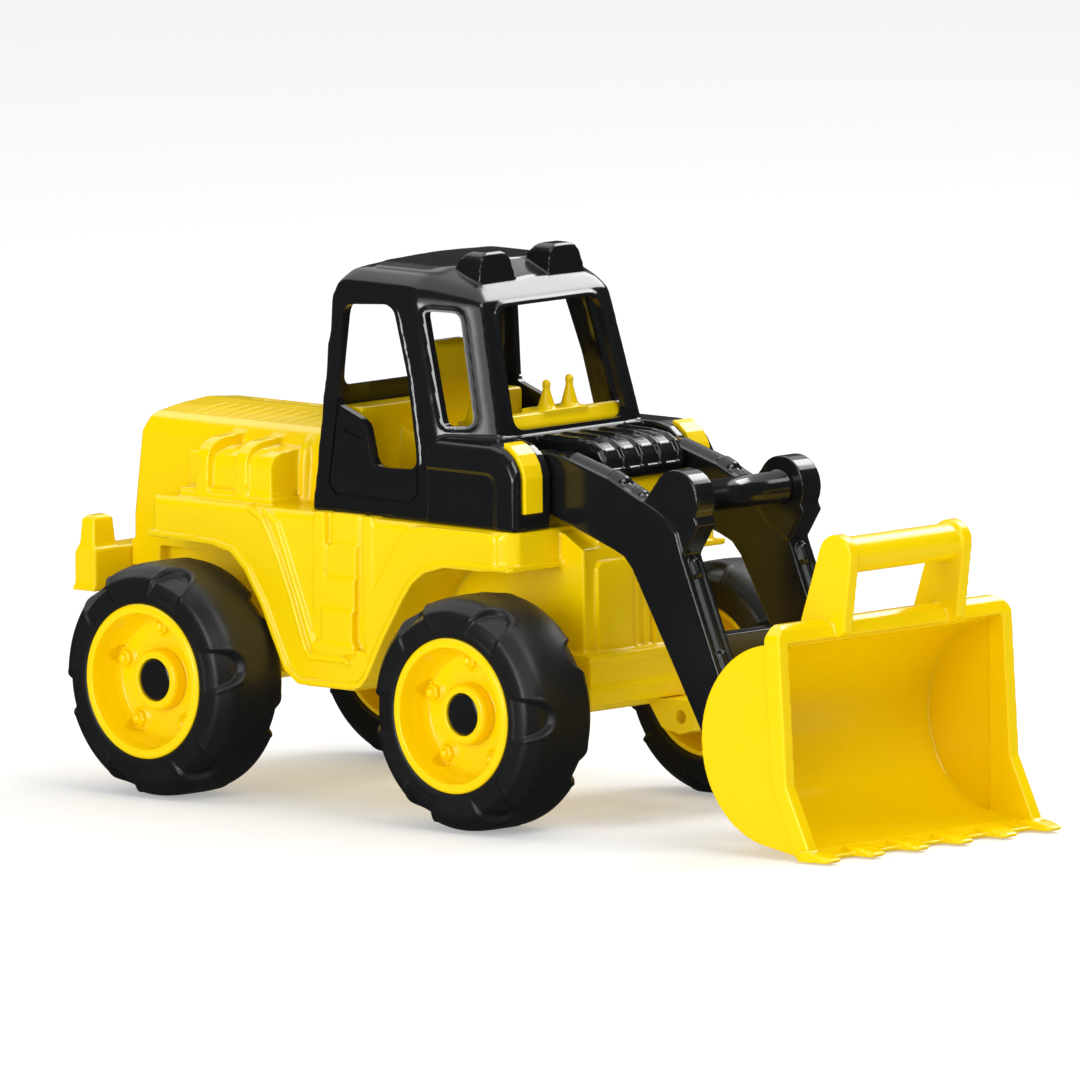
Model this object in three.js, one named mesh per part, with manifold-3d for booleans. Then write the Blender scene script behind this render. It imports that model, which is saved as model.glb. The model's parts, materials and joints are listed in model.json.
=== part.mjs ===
// Ride-along toy front loader: a yellow and black moulded body on four free wheels,
// with a lifting arm frame and a tilting bucket.
//
// Millimetres, +X forward, +Y to the toy's left, +Z up. The drawing frame below has X = 0 at
// the rear axle, and the exported group is shifted so that its origin is the centre of the
// footprint, on the ground.

import * as THREE from 'three';
import { mergeVertices } from 'three/addons/utils/BufferGeometryUtils.js';
import { ConvexGeometry } from 'three/addons/geometries/ConvexGeometry.js';
import Module from 'manifold-3d';

const wasm = await Module();
wasm.setup();

// ---------------------------------------------------------------- driving dimensions

const GAP = 0.3;                    // clearance between neighbouring pieces
const WALL = 3;                     // moulded wall thickness

const REAR_END = -98;               // rear face of the bumper
const FRONT_END = 506;              // tips of the bucket teeth
const WHEELBASE = 243;

const TYRE_R = 67.3;
const TYRE_WIDTH = 54;
const WHEEL_MID_Y = 103.7;
const RIM_R = 44.6;
const RIM_LIP_Y = 131.7;            // outermost plane of the rim
const HUB_R = 17.5;
const CAP_R = 12;
const AXLE_R = 4;
const AXLE_END_Y = 116.2;
const BORE_PLAY = 0.35;             // radial play of a wheel or arm on its shaft

const DECK_Z = 168;                 // top of the fender deck, where the cab stands
const BELLY_Z = 68.5;               // lower edge of the side panels
const FENDER_Y = 88;
const TUB_Y = 47;                   // half width of the centre body between the wheels
const TAIL_Y = 56;                  // half width of the engine hood
const TAIL_X = -80;
const NOSE_X = 269;                 // front face of the tower under the arms
const NOSE_BOX_Y = 51.6;            // half width of the low box in front of it
const TOWER_X = 218;                // its rear face, in front of the cab

const HOOD_END_X = 84;              // where the hood meets the cab
const SIDE_BOX_END_X = 53.5;
const CAB_REAR_X = 85.3;            // foot of the cab's rear wall
const CAB_BASE_Y = 79.6;            // half width of the cab at the deck
const ROOF_Y = 70.2;                // half width at the roof's edge
const ROOF_Z = 293;                 // height of the roof's edge
const BONNET_X = 251;               // front face of the black wings
const BONNET_Z = 217;
const BONNET_Y = 84;
const WING_PANEL_Y = 81;            // recessed panel on the outside of a wing
const GRILLE_Y = 33;                // half width of the grille between the arms
const ARM_SLOT_Y = 54.5;            // outer wall of the slot that each arm runs in

const ARM_IN_Y = 36.5;
const ARM_OUT_Y = 53;
const LIFT = { x: 236, z: 194 };    // axis that the arms lift about
const TILT = { x: 384, z: 52 };     // axis that the bucket tilts about
const GRAB = { x: 345, z: 191 };    // centre of the grab bar
const GRAB_R = 9;
const CROSS = { x: 362, z: 106 };   // centre of the lower cross bar

const BOWL = { x: 462, z: 64, r: 58 };   // round back of the bucket
const BUCKET_Y = 94;                // outside of the bucket's side plates
const LIP_Y = 96.7;                 // outside of its lip
const MOUTH_Y = 88.9;               // inside of its lip
const TOOTH_PITCH = 36.6;
const TOOTH_WIDTH = 15;
const BAR = { x: 468, z: 168.6, r: 10.5 };   // the bucket's handle bar
const LUG_IN_Y = 43;
const LUG_OUT_Y = 50.5;

const BASE_SCREWS = [[80, -25], [80, 25], [135, -25], [135, 25]];
const BOSS_TOP = 74;                // top of the bosses that take the base screws
const BUMPER_SCREW_Z = 128;
const CAB_SCREW = { x: 236, y: 69 };
const SEAT_Z = 208;

const YELLOW = { color: 0xf7d600, roughness: 0.3, metalness: 0 };
const BLACK = { color: 0x17181a, roughness: 0.25, metalness: 0 };
const TYRE_BLACK = { color: 0x1b1c1e, roughness: 0.6, metalness: 0 };
const STEEL = { color: 0xb4b6b8, roughness: 0.35, metalness: 1 };

// ---------------------------------------------------------------- shape helpers

function solid(geometry) {
  geometry.deleteAttribute('normal');
  geometry.deleteAttribute('uv');
  const welded = mergeVertices(geometry, 1e-4);
  return new wasm.Manifold(new wasm.Mesh({
    numProp: 3,
    vertProperties: Float32Array.from(welded.attributes.position.array),
    triVerts: Uint32Array.from(welded.index.array),
  }));
}

function geometryOf(manifold) {
  const mesh = manifold.getMesh();
  const geometry = new THREE.BufferGeometry();
  geometry.setAttribute('position', new THREE.BufferAttribute(mesh.vertProperties, 3));
  geometry.setIndex(new THREE.BufferAttribute(mesh.triVerts, 1));
  geometry.computeVertexNormals();
  return geometry;
}

function box(x0, x1, y0, y1, z0, z1) {
  const geometry = new THREE.BoxGeometry(x1 - x0, y1 - y0, z1 - z0);
  geometry.translate((x0 + x1) / 2, (y0 + y1) / 2, (z0 + z1) / 2);
  return solid(geometry);
}

// A side-view outline, as a THREE.Shape in X and Z, run from y0 to y1.
function prismY(shape, y0, y1, curveSegments = 8) {
  const geometry = new THREE.ExtrudeGeometry(shape, {
    depth: y1 - y0, bevelEnabled: false, curveSegments,
  });
  geometry.rotateX(Math.PI / 2);
  geometry.translate(0, y1, 0);
  return solid(geometry);
}

// A front-view outline, as a THREE.Shape in Y and Z, run from x0 to x1.
function prismX(shape, x0, x1, curveSegments = 6) {
  const geometry = new THREE.ExtrudeGeometry(shape, {
    depth: x1 - x0, bevelEnabled: false, curveSegments,
  });
  geometry.rotateX(Math.PI / 2);
  geometry.rotateZ(Math.PI / 2);
  geometry.translate(x0, 0, 0);
  return solid(geometry);
}

function polygon(points) {
  return new THREE.Shape(points.map(([u, v]) => new THREE.Vector2(u, v)));
}

function hull(points) {
  return solid(new ConvexGeometry(points.map(([x, y, z]) => new THREE.Vector3(x, y, z))));
}

// Each point of an outline again on the other side of the symmetry plane.
function bothSides(points) {
  return points.flatMap(([x, y, z]) => [[x, y, z], [x, -y, z]]);
}

function cylinderY(x, z, r, y0, y1, segments = 24) {
  const geometry = new THREE.CylinderGeometry(r, r, y1 - y0, segments);
  geometry.translate(x, (y0 + y1) / 2, z);
  return solid(geometry);
}

function cylinderZ(x, y, r, z0, z1, segments = 12) {
  const geometry = new THREE.CylinderGeometry(r, r, z1 - z0, segments);
  geometry.rotateX(Math.PI / 2);
  geometry.translate(x, y, (z0 + z1) / 2);
  return solid(geometry);
}

function cylinderX(y, z, r, x0, x1, segments = 12) {
  const geometry = new THREE.CylinderGeometry(r, r, x1 - x0, segments);
  geometry.rotateZ(Math.PI / 2);
  geometry.translate((x0 + x1) / 2, y, z);
  return solid(geometry);
}

// A closed (radius, distance along Y) profile turned about a Y axis at (x, z).
function turnedY(profile, x, z, segments = 28) {
  const points = profile.map(([r, y]) => new THREE.Vector2(r, y));
  if (THREE.ShapeUtils.area(points) < 0) {
    points.reverse();
  }
  points.push(points[0].clone());
  const geometry = new THREE.LatheGeometry(points, segments);
  geometry.translate(x, 0, z);
  return solid(geometry);
}

function mirroredY(manifold) {
  const geometry = geometryOf(manifold);
  geometry.scale(1, -1, 1);
  geometry.index.array.reverse();
  return solid(geometry);
}

function join(...solids) {
  return solids.reduce((whole, next) => whole.add(next));
}

const toy = new THREE.Group();
toy.position.x = -(REAR_END + FRONT_END) / 2;

function addPart(name, manifold, look) {
  const material = new THREE.MeshStandardMaterial(look);
  const mesh = new THREE.Mesh(geometryOf(manifold), material);
  mesh.name = name;
  toy.add(mesh);
}

// Adds a piece drawn on the +Y side and its mirror image.
function addPair(name, manifold, look) {
  addPart(`${name}_left`, manifold, look);
  addPart(`${name}_right`, mirroredY(manifold), look);
}

// ---------------------------------------------------------------- body

// Side panel and fender, with the two wheel arches cut out of its lower edge.
function fenderOutline(inset) {
  return polygon([
    [-32 + inset, 145 - inset], [19, 143 - inset], [36 + inset, 136], [53.5 + inset, 114],
    [71.6 + inset, 76], [83 + inset / 2, BELLY_Z - inset], [127 - inset / 2, BELLY_Z - inset],
    [138.5 - inset, 80], [146 - inset, 99], [162 - inset, 123], [174 - inset, 137],
    [186, 143 - inset], [250 - inset, 145 - inset], [250 - inset, DECK_Z - inset],
    [-32 + inset, DECK_Z - inset],
  ]);
}

// Centre body: the tub between the wheels and the stepped tower under the loader arms.
function tubOutline(inset) {
  return polygon([
    [TAIL_X + inset, 122], [-60, 118], [-45, 67], [262, 67], [278 - inset, 67],
    [278 - inset, 96 - inset], [NOSE_X - inset, 97 - inset], [NOSE_X - inset, 156 - inset],
    [252 - inset, 165 - inset], [236, DECK_Z - inset], [TAIL_X + inset, DECK_Z - inset],
  ]);
}

// The crowned engine hood, or its hollow when inset by a wall.
function hood(inset) {
  const half = TAIL_Y - 2 - inset;
  const end = HOOD_END_X - inset;
  const corners = [[TAIL_X + inset, half, 150], [end, half, 150], [TAIL_X + inset, half, 196],
    [-76 + inset, 44, 206 - inset]];
  for (const [y, z] of [[half, 198], [47 - inset, 207], [24, 212], [0, 214]]) {
    corners.push([-72 + inset, y, z - inset], [end, y, z - inset]);
  }
  return hull(bothSides(corners));
}

// One moulding: fenders and side panels, tub, engine hood and the tower under the arms.
function bodyShell() {
  const fender = prismY(fenderOutline(0), -FENDER_Y, FENDER_Y);
  const fenderInside = prismY(fenderOutline(WALL), -FENDER_Y + WALL, FENDER_Y - WALL);
  const tub = prismY(tubOutline(0), -TUB_Y, TUB_Y);
  const tubInside = prismY(tubOutline(WALL), -TUB_Y + WALL, TUB_Y - WALL);
  const tail = prismY(polygon([[TAIL_X, 122], [-60, 130], [60, 130], [60, DECK_Z],
    [TAIL_X, DECK_Z]]), -TAIL_Y, TAIL_Y);
  const tailInside = prismY(polygon([[TAIL_X + WALL, 125.5], [-60, 133], [60, 133],
    [60, DECK_Z - WALL], [TAIL_X + WALL, DECK_Z - WALL]]), -TAIL_Y + WALL, TAIL_Y - WALL);
  const engineBox = box(-12, SIDE_BOX_END_X, -70, 70, DECK_Z - 1, 198);
  const engineInside = box(-12 + WALL, SIDE_BOX_END_X - WALL, -67, 67, DECK_Z - 4, 198 - WALL);
  const tower = box(TOWER_X, NOSE_X, -GRILLE_Y, GRILLE_Y, 150, 193.5);
  const towerInside = box(TOWER_X + WALL, NOSE_X - WALL, -GRILLE_Y + WALL, GRILLE_Y - WALL,
    140, 193.5 - WALL);

  const noseBox = box(256, 278, -NOSE_BOX_Y, NOSE_BOX_Y, 67, 96);

  const outside = join(fender, tub, tail, hood(0), engineBox, tower, noseBox);
  const inside = join(fenderInside, tubInside, tailInside, hood(WALL), engineInside,
    towerInside);
  let shell = outside.subtract(inside);
  for (const axleX of [0, WHEELBASE]) {
    shell = shell.subtract(box(axleX - 9.4, axleX + 9.4, -60, 60, 50, 76.8));
  }
  for (const [x, y] of BASE_SCREWS) {
    const post = cylinderZ(x, y, 5, BOSS_TOP + GAP, DECK_Z - WALL + 0.5);
    shell = shell.add(post).subtract(cylinderZ(x, y, 2, 60, 92));
  }
  for (const side of [-1, 1]) {
    shell = shell.subtract(cylinderX(side * 30, BUMPER_SCREW_Z, 2, TAIL_X - 1, TAIL_X + 5));
    shell = shell.subtract(cylinderZ(CAB_SCREW.x, side * CAB_SCREW.y, 2, 150, DECK_Z + 1));
  }
  return shell.subtract(cylinderY(LIFT.x, LIFT.z, AXLE_R + GAP, -60, 60));
}

// Floor under the tub and the side panels, with the two tubes that carry the axles and the
// front bracket. The heads of its screws sit in the bosses, above its lower face.
function chassisBase() {
  const half = TUB_Y - WALL - GAP;
  const sideHalf = FENDER_Y - WALL - GAP;
  let base = box(-42, 274.5, -half, half, 67.5, 70.5)
    .add(box(85.5, 124.5, -sideHalf, sideHalf, 67.5, 70.5));
  for (const axleX of [0, WHEELBASE]) {
    base = base.add(cylinderY(axleX, TYRE_R, 9, -74, 74));
  }
  const bracket = prismY(polygon([[262, 69], [274.5, 69], [274.5, 66.6], [300, 66.6], [304, 62],
    [300, 50], [290, 47], [276, 50]]), 9, 27);
  base = base.add(bracket).subtract(cylinderY(291, 57, 4, 0, 30, 16));
  for (const axleX of [0, WHEELBASE]) {
    base = base.subtract(cylinderY(axleX, TYRE_R, AXLE_R + GAP, -80, 80));
  }
  for (const [x, y] of BASE_SCREWS) {
    base = base.add(cylinderZ(x, y, 6.5, 69, BOSS_TOP))
      .subtract(cylinderZ(x, y, 2, 60, BOSS_TOP + 1))
      .subtract(cylinderZ(x, y, 4, 60, BOSS_TOP - 2.5));
  }
  return base;
}

// Counterweight bumper across the tail, with a raised block at each end.
function rearBumper() {
  const front = TAIL_X - GAP - 0.1;
  const beam = box(REAR_END, front, -86.5, 86.5, 108, 134);
  const inside = box(REAR_END + WALL, front - WALL, -83.5, 83.5, 100, 131);
  let bumper = beam.subtract(inside);
  for (const side of [-1, 1]) {
    const low = Math.min(side * 65, side * 84);
    bumper = bumper.add(box(REAR_END + 3, front - 2, low, low + 19, 132, 151));
    bumper = bumper.add(cylinderX(side * 30, BUMPER_SCREW_Z - 4, 4, REAR_END + 2, front));
    bumper = bumper.subtract(cylinderX(side * 30, BUMPER_SCREW_Z, 2, REAR_END + 6, front + 1));
  }
  return bumper;
}

// ---------------------------------------------------------------- cab

// The cab as one tapered block, or its hollow when inset by a wall. Behind the windscreen each
// side turns in along an angled panel. The roof is crowned and falls towards the front, where
// its wall is thinner.
function cabHull(inset) {
  const side = CAB_BASE_Y - inset;
  const edge = ROOF_Y - inset;
  const base = DECK_Z + GAP - (inset > 0 ? 5 : 0);
  const turn = inset * 0.22;
  const corner = inset * 0.64;
  const thin = inset / 2;
  return hull(bothSides([
    [CAB_REAR_X + inset, side, base], [193.4 - turn, side, base],
    [228.6 - inset, 63.6 - corner, base],
    [94 + inset, edge, ROOF_Z], [159.7 - turn, edge, ROOF_Z],
    [196.5 - inset, 53 - corner, ROOF_Z - inset],
    [98 + inset, 66 - inset, 301 - inset], [158, 66 - inset, 301 - inset],
    [104 + inset, 56, 308 - inset], [160, 55, 308 - inset], [112 + inset, 40, 310.5 - inset],
    [164, 40, 310 - inset], [185.5 - thin, 40, 302.5 - thin], [189 - thin, 50 - inset, 299 - thin],
  ]));
}

// Black wings that stand on the fenders, with the engine cover between the two arm slots.
function bonnet() {
  const outline = (inset) => polygon([
    [178 + inset, DECK_Z + GAP - inset], [BONNET_X - inset, DECK_Z + GAP - inset],
    [BONNET_X - inset, 199], [246 - inset, 210 - inset], [238, 216 - inset],
    [228, BONNET_Z - inset], [184 + inset, BONNET_Z - inset], [178 + inset, 211],
  ]);
  const wings = prismY(outline(0), -WING_PANEL_Y, WING_PANEL_Y);
  const band = wings.scale([1, BONNET_Y / WING_PANEL_Y, 1])
    .intersect(box(236, BONNET_X, -BONNET_Y, BONNET_Y, DECK_Z, BONNET_Z));
  const cover = prismY(polygon([[200, 194], [272, 194], [273, 199], [268, 212], [262, 216],
    [200, 217]]), -GRILLE_Y, GRILLE_Y);
  const slots = join(
    box(217.5, 280, GRILLE_Y, ARM_SLOT_Y, DECK_Z - 1, 222),
    box(217.5, 280, -ARM_SLOT_Y, -GRILLE_Y, DECK_Z - 1, 222),
    box(201, 280, -GRILLE_Y - 0.1, GRILLE_Y + 0.1, DECK_Z - 1, 194),
  );
  const outside = wings.add(band).subtract(slots).add(cover);
  const wingInside = prismY(outline(WALL), ARM_SLOT_Y + WALL, WING_PANEL_Y - WALL);
  return { outside, inside: wingInside.add(mirroredY(wingInside)) };
}

// Side windows in X and Z, and end windows in Y and Z.
const DOOR_WINDOW = [[105.5, 284], [110, 287.3], [139, 289.3], [145, 286], [157.5, 250],
  [167, 209], [168, 200], [164.5, 197], [139, 196.5], [135, 199.6], [128.5, 219.5],
  [123, 223], [106, 229.2], [104.5, 232.5]];
const QUARTER_WINDOW = [[167, 286], [168.6, 287.1], [183.6, 286.6], [186.6, 284],
  [201.2, 227], [199.7, 223.5], [186.8, 223], [184.6, 225]];
const WINDSCREEN = [[-46.8, 223], [-44, 220], [44, 220], [46.8, 223], [42, 286], [38.5, 289],
  [-38.5, 289], [-42, 286]];
const REAR_WINDOW = [[-60, 238], [60, 238], [56, 286], [-56, 286]];

// Open cab with four pillars, two lamps on the roof and the wings in front.
function cabShell() {
  const wings = bonnet();
  let shell = cabHull(0).subtract(cabHull(WALL));
  const behindCover = box(217.5, 240, -ARM_SLOT_Y, ARM_SLOT_Y, DECK_Z - 1, 217);
  shell = shell.subtract(behindCover).add(wings.outside.subtract(wings.inside));
  shell = shell.subtract(cabHull(WALL).subtract(box(214.5, 260, -90, 90, 100, 222)));
  shell = shell.subtract(prismY(polygon(DOOR_WINDOW), -90, 90));
  shell = shell.subtract(prismY(polygon(QUARTER_WINDOW), -90, 90));
  shell = shell.subtract(prismX(polygon(WINDSCREEN), 185, 240));
  shell = shell.subtract(prismX(polygon(REAR_WINDOW), 80, 100));
  for (const side of [-1, 1]) {
    const lamp = prismY(polygon([[164, 306], [187, 301], [185, 314], [182, 319], [172, 319],
      [166, 313]]), side * 28.5 - 14, side * 28.5 + 14);
    shell = shell.add(lamp);
    const post = cylinderZ(CAB_SCREW.x, side * CAB_SCREW.y, 5, DECK_Z + GAP, 213.5);
    shell = shell.add(post);
    shell = shell.subtract(cylinderZ(CAB_SCREW.x, side * CAB_SCREW.y, 2, DECK_Z, 190));
    shell = shell.subtract(lampPocket(side));
  }
  return shell.subtract(cylinderY(LIFT.x, LIFT.z, AXLE_R + GAP, -60, 60));
}

// Shallow recess over the front corner of a wing, which takes the lamp insert.
function lampPocket(side) {
  const outline = polygon([[235.5, 214.9], [238.3, 214.3], [243.6, 208.2], [248.9, 199.5],
    [248.9, 177.5], [256, 177.5], [256, 208], [250, 219], [235.5, 224]]);
  const pocket = prismY(outline, 62, 77.5);
  return side > 0 ? pocket : mirroredY(pocket);
}

// Yellow insert that wraps over the front corner of a wing.
function lampInsert() {
  const outline = polygon([[235.9, 215.3], [238.5, 214.8], [244.1, 208.6], [249.3, 199.7],
    [249.3, 177.9], [252.3, 177.9], [252.3, 200], [247.4, 210.8], [239, 217.2],
    [235.9, 217.6]]);
  return prismY(outline, 62.4, 77.1);
}

// Floor, rear shelf, seat and dashboard in one moulding, with three control levers.
function cabInterior() {
  const floor = DECK_Z + GAP;
  const plan = [[89, 74], [190, 74], [214, 63]];
  const shelf = box(93, 114, -66, 66, floor, 227);
  let inside = hull(bothSides(plan.flatMap(([x, y]) => [[x, y, floor], [x, y, floor + WALL]])));
  inside = inside.add(shelf);
  inside = inside.subtract(box(93 + WALL, 114 - WALL, -63, 63, floor - 1, 227 - WALL));
  inside = inside.add(box(113, 165, -20, 20, floor, SEAT_Z));
  inside = inside.subtract(box(116, 162, -17, 17, floor - 1, SEAT_Z - WALL));
  const backrest = prismY(polygon([[112, 200], [128, 200], [124, 258], [118, 262], [112, 258]]),
    -18, 18);
  const dash = prismY(polygon([[190, floor], [211, floor], [209.5, 221], [205, 228],
    [190, 228]]), -50, 50);
  const dashInside = prismY(polygon([[193, floor - 1], [208, floor - 1], [206.5, 220],
    [203, 225], [193, 225]]), -47, 47);
  inside = join(inside, backrest, dash).subtract(dashInside);
  for (const [x, y] of [[201, -5], [201, 14], [178, -40]]) {
    const foot = x > 190 ? 227 : floor + 1;
    const top = x > 190 ? 244 : 238;
    const cone = new THREE.CylinderGeometry(2, 5.5, top - foot, 12);
    cone.rotateX(Math.PI / 2);
    cone.translate(x, y, (foot + top) / 2);
    inside = inside.add(solid(cone));
  }
  return inside;
}

// ---------------------------------------------------------------- wheels

// Hollow tyre, open towards the rim it is pressed on.
function tyre(x) {
  const inner = WHEEL_MID_Y - TYRE_WIDTH / 2;
  const outer = WHEEL_MID_Y + TYRE_WIDTH / 2;
  const bore = RIM_R + GAP;
  return turnedY([
    [bore, inner + 2], [58, inner], [65, inner + 4], [TYRE_R, inner + 12],
    [TYRE_R, outer - 12], [65, outer - 4], [58, outer], [bore, outer],
    [bore, outer - 4], [57, outer - 4], [TYRE_R - 4, outer - 13],
    [TYRE_R - 4, inner + 13], [57, inner + 4], [bore, inner + 6],
  ], x, TYRE_R);
}

// Dished rim with a hub tube for the axle and a recess for the hub cap.
function rim(x) {
  const back = WHEEL_MID_Y - TYRE_WIDTH / 2 + 1;
  const dish = RIM_LIP_Y - 20;
  return turnedY([
    [RIM_R, RIM_LIP_Y], [RIM_R, back], [RIM_R - 3, back], [RIM_R - 3, dish - 3],
    [12, dish - 3], [12, back], [AXLE_R + BORE_PLAY, back], [AXLE_R + BORE_PLAY, 115],
    [CAP_R + GAP, 115], [CAP_R + GAP, 121.4], [HUB_R, 121.4], [HUB_R, dish],
    [39, dish], [39, RIM_LIP_Y],
  ], x, TYRE_R);
}

function hubCap(x) {
  return cylinderY(x, TYRE_R, CAP_R, 116.6, 120.6);
}

function pushNut(x) {
  return turnedY([[AXLE_R + GAP, 115.3], [9, 115.3], [9, 116.1], [AXLE_R + GAP, 116.1]],
    x, TYRE_R, 20);
}

function axle(x) {
  return cylinderY(x, TYRE_R, AXLE_R, -AXLE_END_Y, AXLE_END_Y, 20);
}

// ---------------------------------------------------------------- loader arms

function armOutline() {
  const outline = new THREE.Shape();
  outline.moveTo(248, 176);
  outline.lineTo(302, 158.5);
  outline.quadraticCurveTo(308, 156.5, 312, 150);
  outline.lineTo(TILT.x - 13, TILT.z + 1);
  outline.absarc(TILT.x, TILT.z, 13, Math.PI, 0.25, false);
  outline.lineTo(349, 165);
  outline.quadraticCurveTo(346, 173, 338, 180);
  outline.lineTo(294, 201);
  outline.lineTo(258, 209.5);
  outline.quadraticCurveTo(250, 211, 243, 209.5);
  outline.absarc(LIFT.x, LIFT.z, 17, 1.15, 5.4, false);
  return outline;
}

// Boom and leg in one plate, with the eye for the grab bar standing up from the knee.
function arm() {
  const eye = new THREE.Shape();
  eye.moveTo(319, 187);
  eye.lineTo(333, 172);
  eye.lineTo(350, 164);
  eye.lineTo(GRAB.x + 17.5 * Math.cos(-0.5), GRAB.z + 17.5 * Math.sin(-0.5));
  eye.absarc(GRAB.x, GRAB.z, 17.5, -0.5, 2.6, false);
  const plate = prismY(armOutline(), ARM_IN_Y, ARM_OUT_Y);
  return plate.add(prismY(eye, ARM_IN_Y, ARM_OUT_Y - 1.5))
    .subtract(cylinderY(GRAB.x, GRAB.z, GRAB_R + GAP, ARM_IN_Y - 1, 44))
    .subtract(crossBarSection(GAP, 30, 42))
    .subtract(cylinderY(LIFT.x, LIFT.z, AXLE_R + BORE_PLAY, 30, 60))
    .subtract(cylinderY(TILT.x, TILT.z, 3.5 + GAP, 30, 60));
}

function crossBarSection(growth, y0, y1) {
  const halfX = 6 + growth;
  const halfZ = 9 + growth;
  return box(CROSS.x - halfX, CROSS.x + halfX, y0, y1, CROSS.z - halfZ, CROSS.z + halfZ);
}

// Headed pin through an arm's foot into the bucket's ear.
function bucketPin() {
  return cylinderY(TILT.x, TILT.z, 3.5, 26.5, ARM_OUT_Y + GAP + 1, 16)
    .add(cylinderY(TILT.x, TILT.z, 7, ARM_OUT_Y + GAP, ARM_OUT_Y + 3, 16));
}

// ---------------------------------------------------------------- bucket

// Side view of the bucket: straight cutting edge below, kinked front, round back.
function bucketOutline(inset) {
  const outline = new THREE.Shape();
  outline.moveTo(455, BOWL.z - BOWL.r + 0.3 + inset);
  outline.lineTo(490 + inset, 0.6 + inset);
  outline.lineTo(470.7 + inset, 41.8);
  outline.lineTo(466 + inset, 124 - inset);
  outline.lineTo(455, 122 - inset);
  outline.absarc(BOWL.x, BOWL.z, BOWL.r - inset, 1.7, 2 * Math.PI - 1.7, false);
  return outline;
}

function lipOutline() {
  return polygon([[489, 0.4], [492, 2.5], [472.2, 42], [467.5, 124], [465.5, 130], [461, 133],
    [456.5, 133], [456.5, 122], [461, 42], [479, 2]]);
}

// Scoop with six teeth, a grip on two lugs above and two hinge ears behind.
function bucket() {
  let shell = prismY(bucketOutline(0), -BUCKET_Y, BUCKET_Y, 14);
  shell = shell.add(prismY(lipOutline(), -LIP_Y, LIP_Y));
  for (let i = 0; i < 6; i++) {
    const y = (i - 2.5) * TOOTH_PITCH;
    const tooth = polygon([[480, 1], [FRONT_END - 2, 1.2], [FRONT_END, 2.6], [FRONT_END, 3.6],
      [488, 8]]);
    shell = shell.add(prismY(tooth, y - TOOTH_WIDTH / 2, y + TOOTH_WIDTH / 2));
  }
  const hollow = prismY(bucketOutline(WALL), -BUCKET_Y + WALL, BUCKET_Y - WALL, 14);
  const mouth = prismY(polygon([[500, 3.5], [484, 3.5], [455, 42], [452, 121.5],
    [480, 123.5], [500, 60]]), -MOUTH_Y, MOUTH_Y);
  const inside = hollow.subtract(box(456, 520, MOUTH_Y, LIP_Y, -5, 140))
    .subtract(box(456, 520, -LIP_Y, -MOUTH_Y, -5, 140));
  shell = shell.subtract(inside).subtract(mouth);

  const lug = new THREE.Shape();
  lug.moveTo(440, 116);
  lug.lineTo(469, 131);
  lug.lineTo(BAR.x + 12, BAR.z - 5);
  lug.absarc(BAR.x, BAR.z, 12.5, -0.3, 2.8, false);
  lug.lineTo(438, 122);
  for (const side of [-1, 1]) {
    const low = side > 0 ? LUG_IN_Y : -LUG_OUT_Y;
    const upper = prismY(lug, low, low + LUG_OUT_Y - LUG_IN_Y).subtract(inside).subtract(mouth);
    shell = shell.add(upper);
    const ear = new THREE.Shape();
    ear.moveTo(412, 40);
    ear.lineTo(412, 84);
    ear.lineTo(TILT.x + 1, TILT.z + 10);
    ear.absarc(TILT.x, TILT.z, 10, 1.4, 5.2, false);
    const earLow = side > 0 ? 27 : -35.5;
    const plate = prismY(ear, earLow, earLow + 8.5).subtract(inside);
    shell = shell.add(plate)
      .subtract(cylinderY(TILT.x, TILT.z, 3.5 + BORE_PLAY, earLow - 1, earLow + 10, 16));
  }
  return shell.add(cylinderY(BAR.x, BAR.z, BAR.r, -LUG_IN_Y - 1, LUG_IN_Y + 1));
}

// ---------------------------------------------------------------- fasteners

function baseScrew(x, y) {
  return cylinderZ(x, y, 1.7, BOSS_TOP - 4, 89, 10)
    .add(cylinderZ(x, y, 3.5, BOSS_TOP - 4.6, BOSS_TOP - 2.5 - GAP, 12));
}

function bumperScrew() {
  return cylinderX(30, BUMPER_SCREW_Z, 1.7, REAR_END + 7, TAIL_X + 4, 10)
    .add(cylinderX(30, BUMPER_SCREW_Z, 3.5, TAIL_X + WALL + GAP, TAIL_X + WALL + 2.5, 12));
}

function cabScrew() {
  return cylinderZ(CAB_SCREW.x, CAB_SCREW.y, 1.7, 163, 186, 10)
    .add(cylinderZ(CAB_SCREW.x, CAB_SCREW.y, 3.5, 162.5, DECK_Z - WALL - GAP, 12));
}

// ---------------------------------------------------------------- assembly

addPart('body_shell', bodyShell(), YELLOW);
addPart('chassis_base', chassisBase(), YELLOW);
addPart('rear_bumper', rearBumper(), YELLOW);
addPart('cab_shell', cabShell(), BLACK);
addPart('cab_interior', cabInterior(), YELLOW);
addPair('lamp_insert', lampInsert(), YELLOW);

for (const [end, x] of [['front', WHEELBASE], ['rear', 0]]) {
  addPart(`${end}_axle`, axle(x), STEEL);
  addPair(`${end}_push_nut`, pushNut(x), STEEL);
  addPair(`${end}_tyre`, tyre(x), TYRE_BLACK);
  addPair(`${end}_rim`, rim(x), YELLOW);
  addPair(`${end}_hub_cap`, hubCap(x), BLACK);
}

addPair('arm', arm(), BLACK);
addPart('grab_bar', cylinderY(GRAB.x, GRAB.z, GRAB_R, -43.7, 43.7), BLACK);
addPart('arm_cross_bar', crossBarSection(0, -41.7, 41.7), BLACK);
addPart('arm_pivot_shaft', cylinderY(LIFT.x, LIFT.z, AXLE_R, -58, 58, 20), STEEL);
addPart('bucket', bucket(), YELLOW);
addPair('bucket_pin', bucketPin(), BLACK);

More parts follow.
